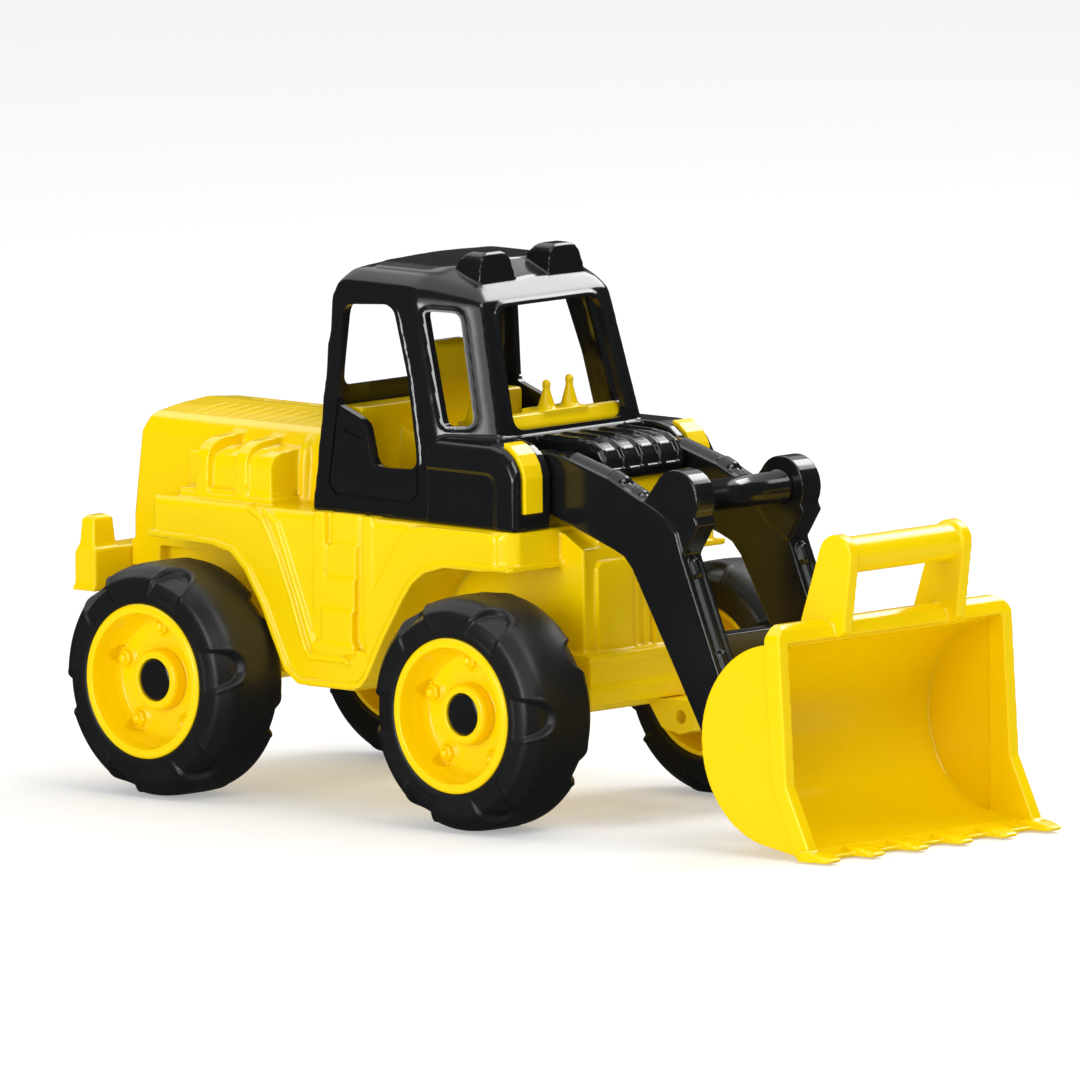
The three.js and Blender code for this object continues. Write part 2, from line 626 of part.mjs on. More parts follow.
BASE_SCREWS.forEach(([x, y], i) => addPart(`base_screw_${i + 1}`, baseScrew(x, y), STEEL));
addPair('bumper_screw', bumperScrew(), STEEL);
addPair('cab_screw', cabScrew(), STEEL);

export default toy;
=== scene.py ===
"""Looks for the toy front loader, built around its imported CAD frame.

Lengths below are millimetres in the same drawing frame as the CAD source: X = 0 at the rear
axle, +X forward, +Y to the toy's left, +Z up. Each finished piece is moved into the row frame
and scaled to metres once, by to_row().
"""

import json
import math

import bmesh
import bpy
from mathutils import Matrix, Vector

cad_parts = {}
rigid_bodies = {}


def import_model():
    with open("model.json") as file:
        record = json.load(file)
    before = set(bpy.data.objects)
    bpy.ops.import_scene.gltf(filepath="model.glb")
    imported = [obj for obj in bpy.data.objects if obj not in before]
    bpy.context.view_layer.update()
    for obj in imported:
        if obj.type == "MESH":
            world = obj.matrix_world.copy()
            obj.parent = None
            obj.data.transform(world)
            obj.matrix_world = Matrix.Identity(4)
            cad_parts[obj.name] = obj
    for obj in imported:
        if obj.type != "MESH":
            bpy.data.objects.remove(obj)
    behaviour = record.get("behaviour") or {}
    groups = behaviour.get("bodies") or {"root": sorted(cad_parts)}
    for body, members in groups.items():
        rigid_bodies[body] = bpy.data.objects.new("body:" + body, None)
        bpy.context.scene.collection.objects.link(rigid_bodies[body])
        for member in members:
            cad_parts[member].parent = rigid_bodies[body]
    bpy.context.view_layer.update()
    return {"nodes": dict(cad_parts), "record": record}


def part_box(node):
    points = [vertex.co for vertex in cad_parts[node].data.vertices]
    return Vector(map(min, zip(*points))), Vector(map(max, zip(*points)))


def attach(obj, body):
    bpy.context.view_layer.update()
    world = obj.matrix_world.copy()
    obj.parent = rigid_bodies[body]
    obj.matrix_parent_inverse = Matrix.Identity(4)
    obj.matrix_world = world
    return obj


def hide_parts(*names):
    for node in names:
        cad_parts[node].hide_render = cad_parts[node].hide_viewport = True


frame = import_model()

# ---------------------------------------------------------------- driving dimensions

MM = 0.001

FENDER_Y = 88           # outside of the side panels
TUB_Y = 47              # half width of the centre body
TAIL_Y = 56             # half width of the engine hood at its foot
TAIL_X = -80
NOSE_X = 269
DECK_Z = 168            # top of the fender deck
BELLY_Z = 68.5          # lower edge of the side panels
HOOD_END_X = 84         # where the hood meets the cab
BONNET_X = 251          # front face of the black wings
BONNET_Y = 84
BONNET_Z = 217.5
WING_PANEL_Y = 81       # recessed panel on the outside of a wing
GRILLE_Y = 33           # half width of the ribbed engine cover
ARM_SLOT_Y = 54.5       # inner face of a wing, beside an arm
ARM_IN_Y = 36.5
ARM_OUT_Y = 53
ARM_MID_Y = (ARM_IN_Y + ARM_OUT_Y) / 2
BUCKET_Y = 94
LIP_Y = 96.7            # outside of the bucket's rolled lip
MOUTH_Y = 88.9          # half width of the bucket's mouth
WALL = 3
TEETH = 6
TOOTH_PITCH = 36.6
LOUVRES = 11
LOUVRE_PITCH = 9.15
COVER_RIBS = 5
COVER_RIB_PITCH = 15
LADDER_STEPS = 4
STEP_RISE = 18.6
NUTS = 5                # moulded nuts on a rim
NUT_CIRCLE_R = 30.3
RIM_R = 44.6
LIP_OUT = 28            # rim lip's distance outboard of the tyre's middle
DISH_OUT = 8            # rim dish's distance outboard of the tyre's middle
WHEEL_TURN = {"rear": 11, "front": 2.5}   # angle of a tyre's first pocket, in degrees


def centre(node):
    """Middle of a CAD node's box, in metres in the row frame."""
    low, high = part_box(node)
    return (low + high) / 2


REAR_WHEEL = centre("rear_tyre_right")
FRONT_WHEEL = centre("front_tyre_right")
LIFT_AXIS = centre("arm_pivot_shaft")
ORIGIN_X = REAR_WHEEL.x                      # the rear axle, in the row frame
TYRE_R = REAR_WHEEL.z / MM
WHEELBASE = (FRONT_WHEEL.x - REAR_WHEEL.x) / MM
WHEEL_Y = -REAR_WHEEL.y / MM
LIFT = ((LIFT_AXIS.x - ORIGIN_X) / MM, LIFT_AXIS.z / MM)
TILT = ((centre("bucket_pin_right").x - ORIGIN_X) / MM, centre("bucket_pin_right").z / MM)
GRAB = ((centre("grab_bar").x - ORIGIN_X) / MM, centre("grab_bar").z / MM)
BOWL = (462, 64)        # centre of the bucket's round back
BOWL_R = 58
BAR = (468, 168.6)      # centre of the bucket's handle
BAR_R = 10.5

# ---------------------------------------------------------------- solids to join and cut

scratch = bpy.data.collections.new("scratch")
bpy.context.scene.collection.children.link(scratch)


def object_of(mesh, name="solid", collection=None):
    piece = bpy.data.objects.new(name, mesh)
    (collection or scratch).objects.link(piece)
    return piece


def solid(points, faces):
    """A closed mesh whose faces are turned outwards."""
    mesh = bpy.data.meshes.new("solid")
    mesh.from_pydata(points, [], faces)
    form = bmesh.new()
    form.from_mesh(mesh)
    bmesh.ops.recalc_face_normals(form, faces=form.faces)
    form.to_mesh(mesh)
    form.free()
    return object_of(mesh)


def loft(rings):
    """Skin over rings that all have the same number of points, with flat ends."""
    count = len(rings[0])
    points = [point for ring in rings for point in ring]
    faces = [list(range(count)), list(range(len(points) - count, len(points)))]
    for row in range(len(rings) - 1):
        for i in range(count):
            a = row * count + i
            b = row * count + (i + 1) % count
            faces.append([a, b, b + count, a + count])
    return solid(points, faces)


def prism_y(outline, y0, y1):
    """A side view outline of (x, z) points run from y0 to y1."""
    return loft([[(x, y, z) for x, z in outline] for y in (y0, y1)])


def prism_x(outline, x0, x1):
    """A front view outline of (y, z) points run from x0 to x1."""
    return loft([[(x, y, z) for y, z in outline] for x in (x0, x1)])


def box(x0, x1, y0, y1, z0, z1):
    return prism_y([(x0, z0), (x1, z0), (x1, z1), (x0, z1)], y0, y1)


def hull(points):
    form = bmesh.new()
    for point in points:
        form.verts.new(point)
    made = bmesh.ops.convex_hull(form, input=form.verts)
    loose = set(made["geom_interior"]) | set(made["geom_unused"])
    bmesh.ops.delete(form, geom=[v for v in loose if isinstance(v, bmesh.types.BMVert)])
    mesh = bpy.data.meshes.new("hull")
    form.to_mesh(mesh)
    form.free()
    return object_of(mesh)


def both_sides(points):
    return [(x, side * y, z) for x, y, z in points for side in (1, -1)]


def circle(radius, count=24, start=0.0):
    turns = [start + 2 * math.pi * i / count for i in range(count)]
    return [(radius * math.cos(turn), radius * math.sin(turn)) for turn in turns]


def rod_y(x, z, radius, y0, y1, count=32):
    return prism_y([(x + u, z + v) for u, v in circle(radius, count)], y0, y1)


def turned_z(x, y, profile, count=32):
    """A (radius, height) profile turned about a vertical axis."""
    return loft([[(x + u, y + v, z) for u, v in circle(radius, count)] for radius, z in profile])


def turned_y(x, z, profile, count=48):
    """A (radius, y) profile, from one end of its axis to the other, turned about Y."""
    return loft([[(x + u, y, z + v) for u, v in circle(radius, count)] for radius, y in profile])


def tube(path, radius, count=16):
    """A round bar along a path of points, with domed ends."""
    path = [Vector(point) for point in path]
    rings = []
    for i, point in enumerate(path):
        along = (path[min(i + 1, len(path) - 1)] - path[max(i - 1, 0)]).normalized()
        across = along.cross(Vector((0, 1, 0)))
        if across.length < 0.1:
            across = along.cross(Vector((1, 0, 0)))
        across.normalize()
        up = across.cross(along)
        ends = []
        if i == 0:
            ends = [(-0.55, 0.75), (-0.2, 0.97)]
        if i == len(path) - 1:
            ends = [(0.2, 0.97), (0.55, 0.75)]
        for slide, share in ends or [(0, 1)]:
            at = point + along * radius * slide
            size = radius * share
            rings.append([tuple(at + across * u * size + up * v * size) for u, v in circle(1, count)])
    return loft(rings)


def bent(points, radius, steps=6):
    """A path whose corners are rounded by arcs."""
    path = [Vector(points[0])]
    for before, corner, after in zip(points, points[1:], points[2:]):
        before, corner, after = Vector(before), Vector(corner), Vector(after)
        reach_in = min(radius, (before - corner).length * 0.49)
        reach_out = min(radius, (after - corner).length * 0.49)
        start = corner + (before - corner).normalized() * reach_in
        end = corner + (after - corner).normalized() * reach_out
        for i in range(steps + 1):
            t = i / steps
            path.append(start * (1 - t) ** 2 + corner * 2 * t * (1 - t) + end * t * t)
    path.append(Vector(points[-1]))
    return path


def rounded(outline, radius, steps=5):
    """A closed (u, v) outline with its corners rounded."""
    points = [(u, v, 0) for u, v in outline]
    count = len(points)
    result = []
    for i in range(count):
        corner = bent([points[i - 1], points[i], points[(i + 1) % count]], radius, steps)[1:-1]
        result += [(point.x, point.y) for point in corner]
    return result


def ribbon(path, width):
    """A flat band of the given width to the left of an open (u, v) path."""
    points = [Vector(point) for point in path]
    shifted = []
    for i, point in enumerate(points):
        along = (points[min(i + 1, len(points) - 1)] - points[max(i - 1, 0)]).normalized()
        shifted.append(point + Vector((-along.y, along.x)) * width)
    return [tuple(p) for p in points] + [tuple(p) for p in reversed(shifted)]


def grown(outline, width):
    """A closed outline moved outwards by a width."""
    points = [Vector(point) for point in outline]
    count = len(points)
    area = sum(points[i - 1].cross(points[i]) for i in range(count))
    turn = 1 if area > 0 else -1
    moved = []
    for i, point in enumerate(points):
        before = (point - points[i - 1]).normalized()
        after = (points[(i + 1) % count] - point).normalized()
        middle = before + after
        reach = width * 2 / middle.length_squared
        moved.append(tuple(point + Vector((middle.y, -middle.x)) * turn * reach))
    return moved


def made_mesh(piece):
    """The piece's mesh with its modifiers applied."""
    graph = bpy.context.evaluated_depsgraph_get()
    return bpy.data.meshes.new_from_object(piece.evaluated_get(graph))


def creased(mesh):
    """The mesh with its hard edges marked, so that they stay crisp in smooth shading."""
    mesh.set_sharp_from_angle(angle=math.radians(40))
    return mesh


class Mould:
    """One plastic moulding: solids joined and cut, then rounded as a real mould rounds them."""

    def __init__(self, first):
        self.base = first

    def _combine(self, pieces, operation):
        for piece in pieces:
            step = self.base.modifiers.new("step", "BOOLEAN")
            step.operation = operation
            step.solver = "MANIFOLD"
            step.object = piece

    def add(self, *pieces):
        self._combine(pieces, "UNION")

    def cut(self, *pieces):
        self._combine(pieces, "DIFFERENCE")

    def within(self, piece):
        self._combine([piece], "INTERSECT")

    def crisp(self):
        """The moulding as joined and cut so far, as a new solid."""
        return object_of(made_mesh(self.base))

    def finished(self, voxel=1.2, smooth=4, keep=0.4):
        crisp = self.crisp()
        remesh = crisp.modifiers.new("remesh", "REMESH")
        remesh.mode = "VOXEL"
        remesh.voxel_size = voxel
        soften = crisp.modifiers.new("soften", "SMOOTH")
        soften.factor = 0.5
        soften.iterations = smooth
        thin = crisp.modifiers.new("thin", "DECIMATE")
        thin.ratio = keep
        return made_mesh(crisp)


# ---------------------------------------------------------------- finished pieces

def to_row(mesh):
    """Millimetres in the drawing frame to metres in the row frame."""
    mesh.transform(Matrix.Translation((ORIGIN_X, 0, 0)) @ Matrix.Scale(MM, 4))


def place(name, mesh, material, body, slot, *nodes):
    """Adds one visible piece, which rides on a body and stands for CAD nodes."""
    to_row(mesh)
    mesh.materials.clear()
    mesh.materials.append(material)
    for face in mesh.polygons:
        face.use_smooth = True
    piece = object_of(mesh, name, bpy.context.scene.collection)
    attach(piece, body)
    if nodes:
        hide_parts(*nodes)
    return piece


def even_shading(piece):
    """Normals weighted by face area, so that flats beside a rounded edge stay flat."""
    weigh = piece.modifiers.new("weigh", "WEIGHTED_NORMAL")
    weigh.mode = "FACE_AREA"
    weigh.weight = 50
    weigh.keep_sharp = True


# ---------------------------------------------------------------- materials

# edge lightens convex edges, as wear and as painted highlight; crease darkens creases as painted
# shade (1 leaves them unchanged).
def plastic(name, colour, roughness, specular, grain=0.0, speck=0.03, edge=0.06, crease=1.0):
    """Moulded plastic: uneven gloss, fine grain, convex edges lightened as wear and as painted
    highlight, and creases darkened as painted shade.
    """
    material = bpy.data.materials.new(name)
    material.use_nodes = True
    nodes = material.node_tree.nodes
    links = material.node_tree.links
    shader = nodes["Principled BSDF"]
    shader.inputs["Specular IOR Level"].default_value = specular

    place_by = nodes.new("ShaderNodeTexCoord")
    clouds = nodes.new("ShaderNodeTexNoise")
    clouds.inputs["Scale"].default_value = 22
    clouds.inputs["Detail"].default_value = 4
    links.new(place_by.outputs["Object"], clouds.inputs["Vector"])

    gloss = nodes.new("ShaderNodeMapRange")
    gloss.inputs["From Min"].default_value = 0.3
    gloss.inputs["From Max"].default_value = 0.7
    gloss.inputs["To Min"].default_value = roughness - speck
    gloss.inputs["To Max"].default_value = roughness + speck
    links.new(clouds.outputs["Fac"], gloss.inputs["Value"])
    links.new(gloss.outputs["Result"], shader.inputs["Roughness"])

    geometry = nodes.new("ShaderNodeNewGeometry")
    # Convex edges (high pointiness) mixed towards a lighter colour: wear, and a painted highlight
    # along the edges.
    wear_and_painted_highlight = nodes.new("ShaderNodeMapRange")
    wear_and_painted_highlight.inputs["From Min"].default_value = 0.52
    wear_and_painted_highlight.inputs["From Max"].default_value = 0.62
    wear_and_painted_highlight.inputs["To Min"].default_value = 0
    wear_and_painted_highlight.inputs["To Max"].default_value = edge
    links.new(geometry.outputs["Pointiness"], wear_and_painted_highlight.inputs["Value"])

    tint = nodes.new("ShaderNodeMix")
    tint.data_type = "RGBA"
    tint.inputs["A"].default_value = (*colour, 1)
    tint.inputs["B"].default_value = (*[min(1, c * 1.15 + 0.04) for c in colour], 1)
    links.new(wear_and_painted_highlight.outputs["Result"], tint.inputs["Factor"])

    tone_drift_and_crease_shade = nodes.new("ShaderNodeMix")
    tone_drift_and_crease_shade.data_type = "RGBA"
    tone_drift_and_crease_shade.blend_type = "MULTIPLY"
    tone_drift_and_crease_shade.inputs["Factor"].default_value = 1
    shade = nodes.new("ShaderNodeMapRange")
    shade.inputs["To Min"].default_value = 0.97
    shade.inputs["To Max"].default_value = 1.02
    links.new(clouds.outputs["Fac"], shade.inputs["Value"])
    links.new(tint.outputs["Result"], tone_drift_and_crease_shade.inputs["A"])
    # Painted shade: creases (low pointiness) darken the base colour by the crease factor.
    painted_crease_shade = nodes.new("ShaderNodeMapRange")
    painted_crease_shade.inputs["From Min"].default_value = 0.4
    painted_crease_shade.inputs["From Max"].default_value = 0.49
    painted_crease_shade.inputs["To Min"].default_value = crease
    painted_crease_shade.inputs["To Max"].default_value = 1
    links.new(geometry.outputs["Pointiness"], painted_crease_shade.inputs["Value"])
    # Random tone multiplied by the painted crease shade, then multiplied into the base colour.
    depth = nodes.new("ShaderNodeMath")
    depth.operation = "MULTIPLY"
    links.new(shade.outputs["Result"], depth.inputs[0])
    links.new(painted_crease_shade.outputs["Result"], depth.inputs[1])
    links.new(depth.outputs["Value"], tone_drift_and_crease_shade.inputs["B"])
    links.new(tone_drift_and_crease_shade.outputs["Result"], shader.inputs["Base Color"])

    if grain:
        fine = nodes.new("ShaderNodeTexNoise")
        fine.inputs["Scale"].default_value = 900
        fine.inputs["Detail"].default_value = 3
        links.new(place_by.outputs["Object"], fine.inputs["Vector"])
        bump = nodes.new("ShaderNodeBump")
        bump.inputs["Strength"].default_value = grain
        bump.inputs["Distance"].default_value = 0.0004
        links.new(fine.outputs["Fac"], bump.inputs["Height"])
        links.new(bump.outputs["Normal"], shader.inputs["Normal"])
    return material


def bare_steel():
    material = plastic("drawn_steel", (0.56, 0.56, 0.58), 0.32, 0.5, grain=0.1, edge=0.0)
    material.node_tree.nodes["Principled BSDF"].inputs["Metallic"].default_value = 1
    return material


# The yellow gets strong edge lightening (wear and painted highlight) and crease darkening (painted
# shade).
YELLOW = plastic("yellow_plastic", (0.955, 0.665, 0.0), 0.2, 0.42, grain=0.03, edge=0.3,
                 crease=0.72)
BLACK = plastic("black_plastic", (0.0072, 0.0078, 0.0088), 0.16, 0.5, grain=0.02, speck=0.02)
RUBBER = plastic("tyre_plastic", (0.0065, 0.007, 0.0075), 0.42, 0.42, grain=0.22, speck=0.05)
STEEL = bare_steel()

# ---------------------------------------------------------------- body

REAR_ARCH = [(-33, 145), (-10, 143.8), (18, 143), (31.5, 140), (42, 131), (54.7, 112),
             (64.7, 92), (73, 76), (84, 68.5)]
FRONT_ARCH = [(123.5, BELLY_Z), (132, 69.8), (138.5, 76), (151.5, 99), (167.4, 123.5), (175, 133.5),
              (184, 140), (199, 144.4), (242, 145), (250, 145.5)]


def side_panels():
    outline = REAR_ARCH + FRONT_ARCH + [(250, DECK_Z), (-33, DECK_Z)]
    return Mould(prism_y(outline, -FENDER_Y, FENDER_Y))


def arch_lips(body):
    """Flange that turns outwards along the lower edge of each side panel."""
    edge = [(-35, 144.6)] + REAR_ARCH[1:] + FRONT_ARCH[:-1] + [(251, 145.3)]
    band = ribbon(edge, 3.4)
    for side in (1, -1):
        body.add(prism_y(band, side * (FENDER_Y - 5), side * (FENDER_Y + 2.2)))
    body.add(prism_x(ribbon([(-FENDER_Y, 145.3), (FENDER_Y, 145.3)], 3.4), 240, 252.2))
    body.add(box(-35, -25, -FENDER_Y, FENDER_Y, 144.6, 148))


def deck_edges(body):
    """Slopes off the deck's edges and the fender's upright front corners."""
    for side in (1, -1):
        slope = [(side * 84.5, DECK_Z + 1), (side * 89, DECK_Z + 1), (side * 89, DECK_Z - 4.5)]
        body.cut(prism_x(slope, -40, 260))
        corner = [(239, side * 89), (252, side * 89), (252, side * 76), (248.5, side * 82),
                  (245, side * 86)]
        body.cut(loft([[(x, y, z) for x, y in corner] for z in (148, 175)]))
        tail = [(-35, side * 89), (-35, side * 84), (-29, side * 89)]
        body.cut(loft([[(x, y, z) for x, y in tail] for z in (148, 175)]))


def arch_ridges(body):
    """Two raised lines that run down beside the rear arch."""
    first = [(44, 166), (55.3, 160.5), (61.5, 149.5), (67.6, 138.5), (76.8, 118), (88.3, 88.4),
             (92, 84)]
    second = [(56, 166), (66.3, 158.5), (72.4, 144.6), (81.6, 122.4), (90.8, 100.1), (96, 87.5)]
    level = [(92, 83.6), (120, 83.6), (124, 82)]
    for side in (1, -1):
        for path, width in ((first, 3), (second, 3), (level, 3)):
            body.add(prism_y(ribbon(path, width), side * 80, side * (FENDER_Y + 2.4)))


def ladder(body):
    """Steps moulded in a shallow recess between two upright ribs."""
    for side in (1, -1):
        body.cut(prism_y([(104, 91), (135, 91), (135, 172), (104, 172)], side * 84.6, side * 95))
        body.add(prism_y([(95.5, 92), (104, 92), (105, 169), (96.5, 169)], side * 80, side * 88.6))
        body.add(prism_y([(134.5, 116), (141.5, 116), (142.5, 169), (134.5, 169)],
                         side * 80, side * 88.8))
        for step in range(LADDER_STEPS):
            top = 169 - step * STEP_RISE
            left = 108.6 - step * 1.9
            right = 129.4 - step * 0.8
            face = 86.0 + step * 1.3
            body.add(prism_y([(left, top - STEP_RISE), (right, top - STEP_RISE), (right, top),
                              (left, top)],
                             side * 80, side * face))
        body.add(prism_y([(98, 88.5), (129, 88.5), (129, 94.6), (98, 94.6)],
                         side * 80, side * 90.6))


def arch_band(body):
    """Slightly raised band of the side panel that follows the front arch."""
    outline = [(133, 112), (158.1, 149.8), (163.4, 158.9), (172, 165.2), (182, 167), (238, 167),
               (238, 146), (199, 146), (184, 141), (174, 134.5), (151.5, 100.5), (139.5, 80)]
    for side in (1, -1):
        body.add(prism_y(rounded(outline, 5), side * 80, side * (FENDER_Y + 0.9)))


def centre_body(body):
    """Tub between the wheels and the stepped tower under the loader arms."""
    body.add(prism_y([(TAIL_X, 122), (-60, 118), (-45, 67), (262, 67), (278, 67), (278, 77),
                      (276, 79), (276, 95), (273, 97.5), (NOSE_X, 98), (NOSE_X, 156),
                      (253, 165), (236, DECK_Z), (TAIL_X, DECK_Z)], -TUB_Y, TUB_Y))
    body.add(box(256, 278, -51.6, 51.6, 67, 76.5))
    body.add(box(255, 276.5, -50, 50, 67, 94), box(254, 278, -51.6, 51.6, 92, 96.5))
    body.add(box(218, NOSE_X - 1.5, -GRILLE_Y, GRILLE_Y, 150, 193.5))
    for side in (1, -1):
        raised = [(side * 9, 98), (side * 38, 98), (side * 38, 145), (side * 35, 148.5),
                  (side * 12, 148.5), (side * 9, 145)]
        body.add(prism_x(raised, 260, NOSE_X + 3))
        rib = [(side * 2.5, 98), (side * 6, 98), (side * 6, 143), (side * 2.5, 143)]
        body.add(prism_x(rib, 260, NOSE_X + 2.2))
        groove = [(side * 41.5, 100), (side * 43, 100), (side * 43, 150), (side * 41.5, 150)]
        body.cut(prism_x(groove, NOSE_X - 1.4, NOSE_X + 2))


def hood(body):
    """Engine hood: upright sides that lean in, a crowned top and rounded rear corners."""
    points = []
    for x, inset in ((TAIL_X + 0.2, 3.2), (TAIL_X + 3.5, 0), (HOOD_END_X, 0)):
        points += [(x, TAIL_Y - inset, 123), (x, TAIL_Y - inset, 150)]
    points += [(-77.5, 48, 196), (-74.5, 51.5, 199), (HOOD_END_X, 52, 200), (-76.2, 40, 205),
               (-76.2, 0, 209), (-74.3, 46, 204.8), (-74.5, 0, 212.4)]
    for half, z in ((47, 207), (41, 209.2), (24, 212), (0, 214)):
        points += [(-72, half, z), (HOOD_END_X, half, z)]
    body.add(hull(both_sides(points)))
    body.cut(box(-58, 60, -TAIL_Y - 1, -TUB_Y - 0.5, 110, 134))
    body.cut(box(-58, 60, TUB_Y + 0.5, TAIL_Y + 1, 110, 134))
    body.add(box(TAIL_X, -57, -TAIL_Y, TAIL_Y, 121, 136))


def side_boxes(body):
    """Ribbed box on each side of the engine, standing on a low plinth."""
    for side in (1, -1):
        body.add(box(-17, 56, side * 40, side * 81.5, 165, 171))
        body.add(box(-20, -5, side * 40, side * 70, 165, 193))
        walls = [(39, 168), (79, 168), (78.5, 190), (75, 195.5), (68, 197.5), (39, 200)]
        body.add(prism_x([(side * y, z) for y, z in walls], 36, 53.5))
        panel = [(39, 168), (77, 168), (76.5, 188), (73, 193.5), (66, 195.5), (39, 198)]
        body.add(prism_x([(side * y, z) for y, z in panel], -4, 40))
        foot = [(-19, 166), (54.5, 166), (54.5, 174.4), (4, 174.4), (-19, 173)]
        body.add(prism_y(foot, side * 60, side * 79.8))
        strap = [(40, 168), (81.2, 168), (80.8, 191), (79, 196), (74.5, 200), (69, 202.2),
                 (42, 205), (40, 204.6)]
        for x in (-3.6, 27):
            body.add(prism_x([(side * y, z) for y, z in strap], x, x + 9))
        strip = bent([(56.5, side * 54, 166), (56.5, side * 53, 197), (56.5, side * 48, 203),
                      (56.5, side * 38, 205.5)], 7)
        body.add(tube(strip, 3.4))


def louvres(body):
    """Cooling slots across each half of the hood."""
    for i in range(LOUVRES):
        x = -46 + LOUVRE_PITCH * i
        for side in (1, -1):
            body.cut(tube([(x, side * 11.5, 214.4), (x - 1.2, side * 37.5, 211.2)], 2.3, 12))


def base_recess(body):
    """Room for the base plate and the axle tubes."""
    body.cut(box(-43, 275, -44, 44, 60, 74.8), box(85, 125, -85, 85, 60, 71))
    for axle_x in (0, WHEELBASE):
        body.cut(box(axle_x - 9.4, axle_x + 9.4, -60, 60, 50, 76.8))


def body_mould():
    body = side_panels()
    centre_body(body)
    arch_lips(body)
    deck_edges(body)
    arch_band(body)
    arch_ridges(body)
    ladder(body)
    hood(body)
    side_boxes(body)
    base_recess(body)
    body.cut(rod_y(LIFT[0], LIFT[1], 4.4, -60, 60))
    body = Mould(object_of(body.finished(voxel=0.9, smooth=4, keep=0.25)))
    louvres(body)
    return creased(made_mesh(body.base))


def bumper_mould():
    """Counterweight with a flared lower edge and a rounded block at each end."""
    front = TAIL_X - 0.4
    beam = [(-97, 109), (front, 109), (front, 132.5), (-94.5, 134), (-97, 130)]
    bumper = Mould(prism_y(beam, -85, 85))
    flare = [(-98, 108), (front, 108), (front, 110.5), (-98, 110.5)]
    bumper.add(prism_y(flare, -86.5, 86.5))
    for side in (1, -1):
        low = [(-95.4, side * 65, 130), (-95.4, side * 84, 130), (front - 2, side * 65, 130),
               (front - 2, side * 84, 130)]
        mid = [(-94, side * 66.5, 149), (-94, side * 82.5, 149), (-84, side * 66.5, 149),
               (-84, side * 82.5, 149)]
        top = [(-92, side * 69, 151.2), (-92, side * 80, 151.2), (-86, side * 69, 151.2),
               (-86, side * 80, 151.2)]
        bumper.add(hull(low + mid + top))
    bumper.cut(box(-94, front - 3.5, -82, 82, 100, 129))
    return bumper.finished(voxel=1.0, smooth=4, keep=0.35)


# ---------------------------------------------------------------- cab

DOOR_WINDOW = [(105.5, 284), (109.2, 287.2), (139.4, 289.3), (145.2, 285.9), (157.7, 250.2),
               (167.1, 208.9), (168.1, 200.2), (164.6, 197.2), (139.3, 196.5), (135, 199.6),
               (128.6, 219.4), (123.1, 223.1), (105.9, 229.2), (104.4, 232.5), (105, 260)]
QUARTER_WINDOW = [(166.8, 286), (168.6, 287.1), (183.6, 286.6), (186.6, 284), (201.2, 226.9),
                  (199.7, 223.5), (186.8, 223), (184.6, 224.9)]
WINDSCREEN = [(-46.8, 220), (46.8, 220), (41.8, 289), (-41.8, 289)]
REAR_WINDOW = [(-60, 238), (60, 238), (56, 287), (-56, 287)]
DOOR_GROOVE = [(103.2, 233), (98.4, 184.5), (104.8, 178.2), (162.9, 177.3), (170.1, 183.3),
               (169.2, 199)]
DOOR_HANDLE = [(109.2, 214.5), (122.5, 211.1)]


def cab_hull(inset):
    """The closed cab: sides that turn in ahead of a crease, and a crowned roof."""
    turn = inset * 0.22
    corner = inset * 0.64
    return hull(both_sides([
        (84 + inset, 81 - inset, 150), (197.5 - turn, 81 - inset, 150),
        (232.5 - inset, 65.2 - corner, 150),
        (94 + inset, 70.2 - inset, 293), (159.7 - turn, 70.2 - inset, 293),
        (196.5 - inset, 53 - corner, 292 - inset * 0.5), (189 - inset, 50 - inset, 299 - inset),
        (97 + inset, 67.5 - inset, 300.5 - inset), (158 - inset, 67.5 - inset, 300.5 - inset),
        (102 + inset, 60, 306.6 - inset), (158, 59, 306.6 - inset),
        (110 + inset, 43, 309.6 - inset), (163, 43, 309.4 - inset), (184 - inset, 43, 302.6 - inset),
        (110 + inset, 0, 310.9 - inset), (164, 0, 310.9 - inset), (184.5 - inset, 0, 303.4 - inset),
    ]))


def soft_cab(inset):
    """The same shape with its edges well rounded, as the real moulding has them."""
    rough = Mould(cab_hull(inset))
    return object_of(rough.finished(voxel=2, smooth=14, keep=1))


def raised(outline_solid, limit):
    """The part of a solid that lies inside a slightly larger cab."""
    form = Mould(outline_solid)
    form.within(limit)
    return form.crisp()


def engraved(outline_solid, limit):
    """The part of a solid that lies outside a slightly smaller cab."""
    form = Mould(outline_solid)
    form.cut(limit)
    return form.crisp()


def wings(cab):
    """Black wings that stand on the fenders, each with a recessed panel on its outside."""
    outline = [(178, 160), (BONNET_X, 160), (BONNET_X, 198), (249.5, 204.5), (245.5, 210.6),
               (239, 215.3), (229, BONNET_Z), (187, BONNET_Z), (181, 215), (178, 209)]
    for side in (1, -1):
        points = []
        for y, drop, pull in ((ARM_SLOT_Y, 0, 0), (BONNET_Y - 8, 0, 0), (BONNET_Y - 3, 2, 0.6),
                              (BONNET_Y - 0.8, 5, 1.6), (BONNET_Y, 8.5, 3.4)):
            for x, z in outline:
                inward = pull if x < 200 else -pull
                points.append((x + inward, side * y, z - (drop if z > 200 else 0)))
        cab.add(hull(points))
        face = rounded([(165, 150), (231, 150), (231, 198), (165, 198)], 7)
        edge = rounded([(165, 150), (238, 150), (238, 203), (165, 203)], 10)
        cab.cut(loft([[(x, side * WING_PANEL_Y, z) for x, z in face],
                      [(x, side * (BONNET_Y + 1), z) for x, z in edge]]))
    cab.add(box(212, 219.4, -58.5, 58.5, 212.5, 216.8))


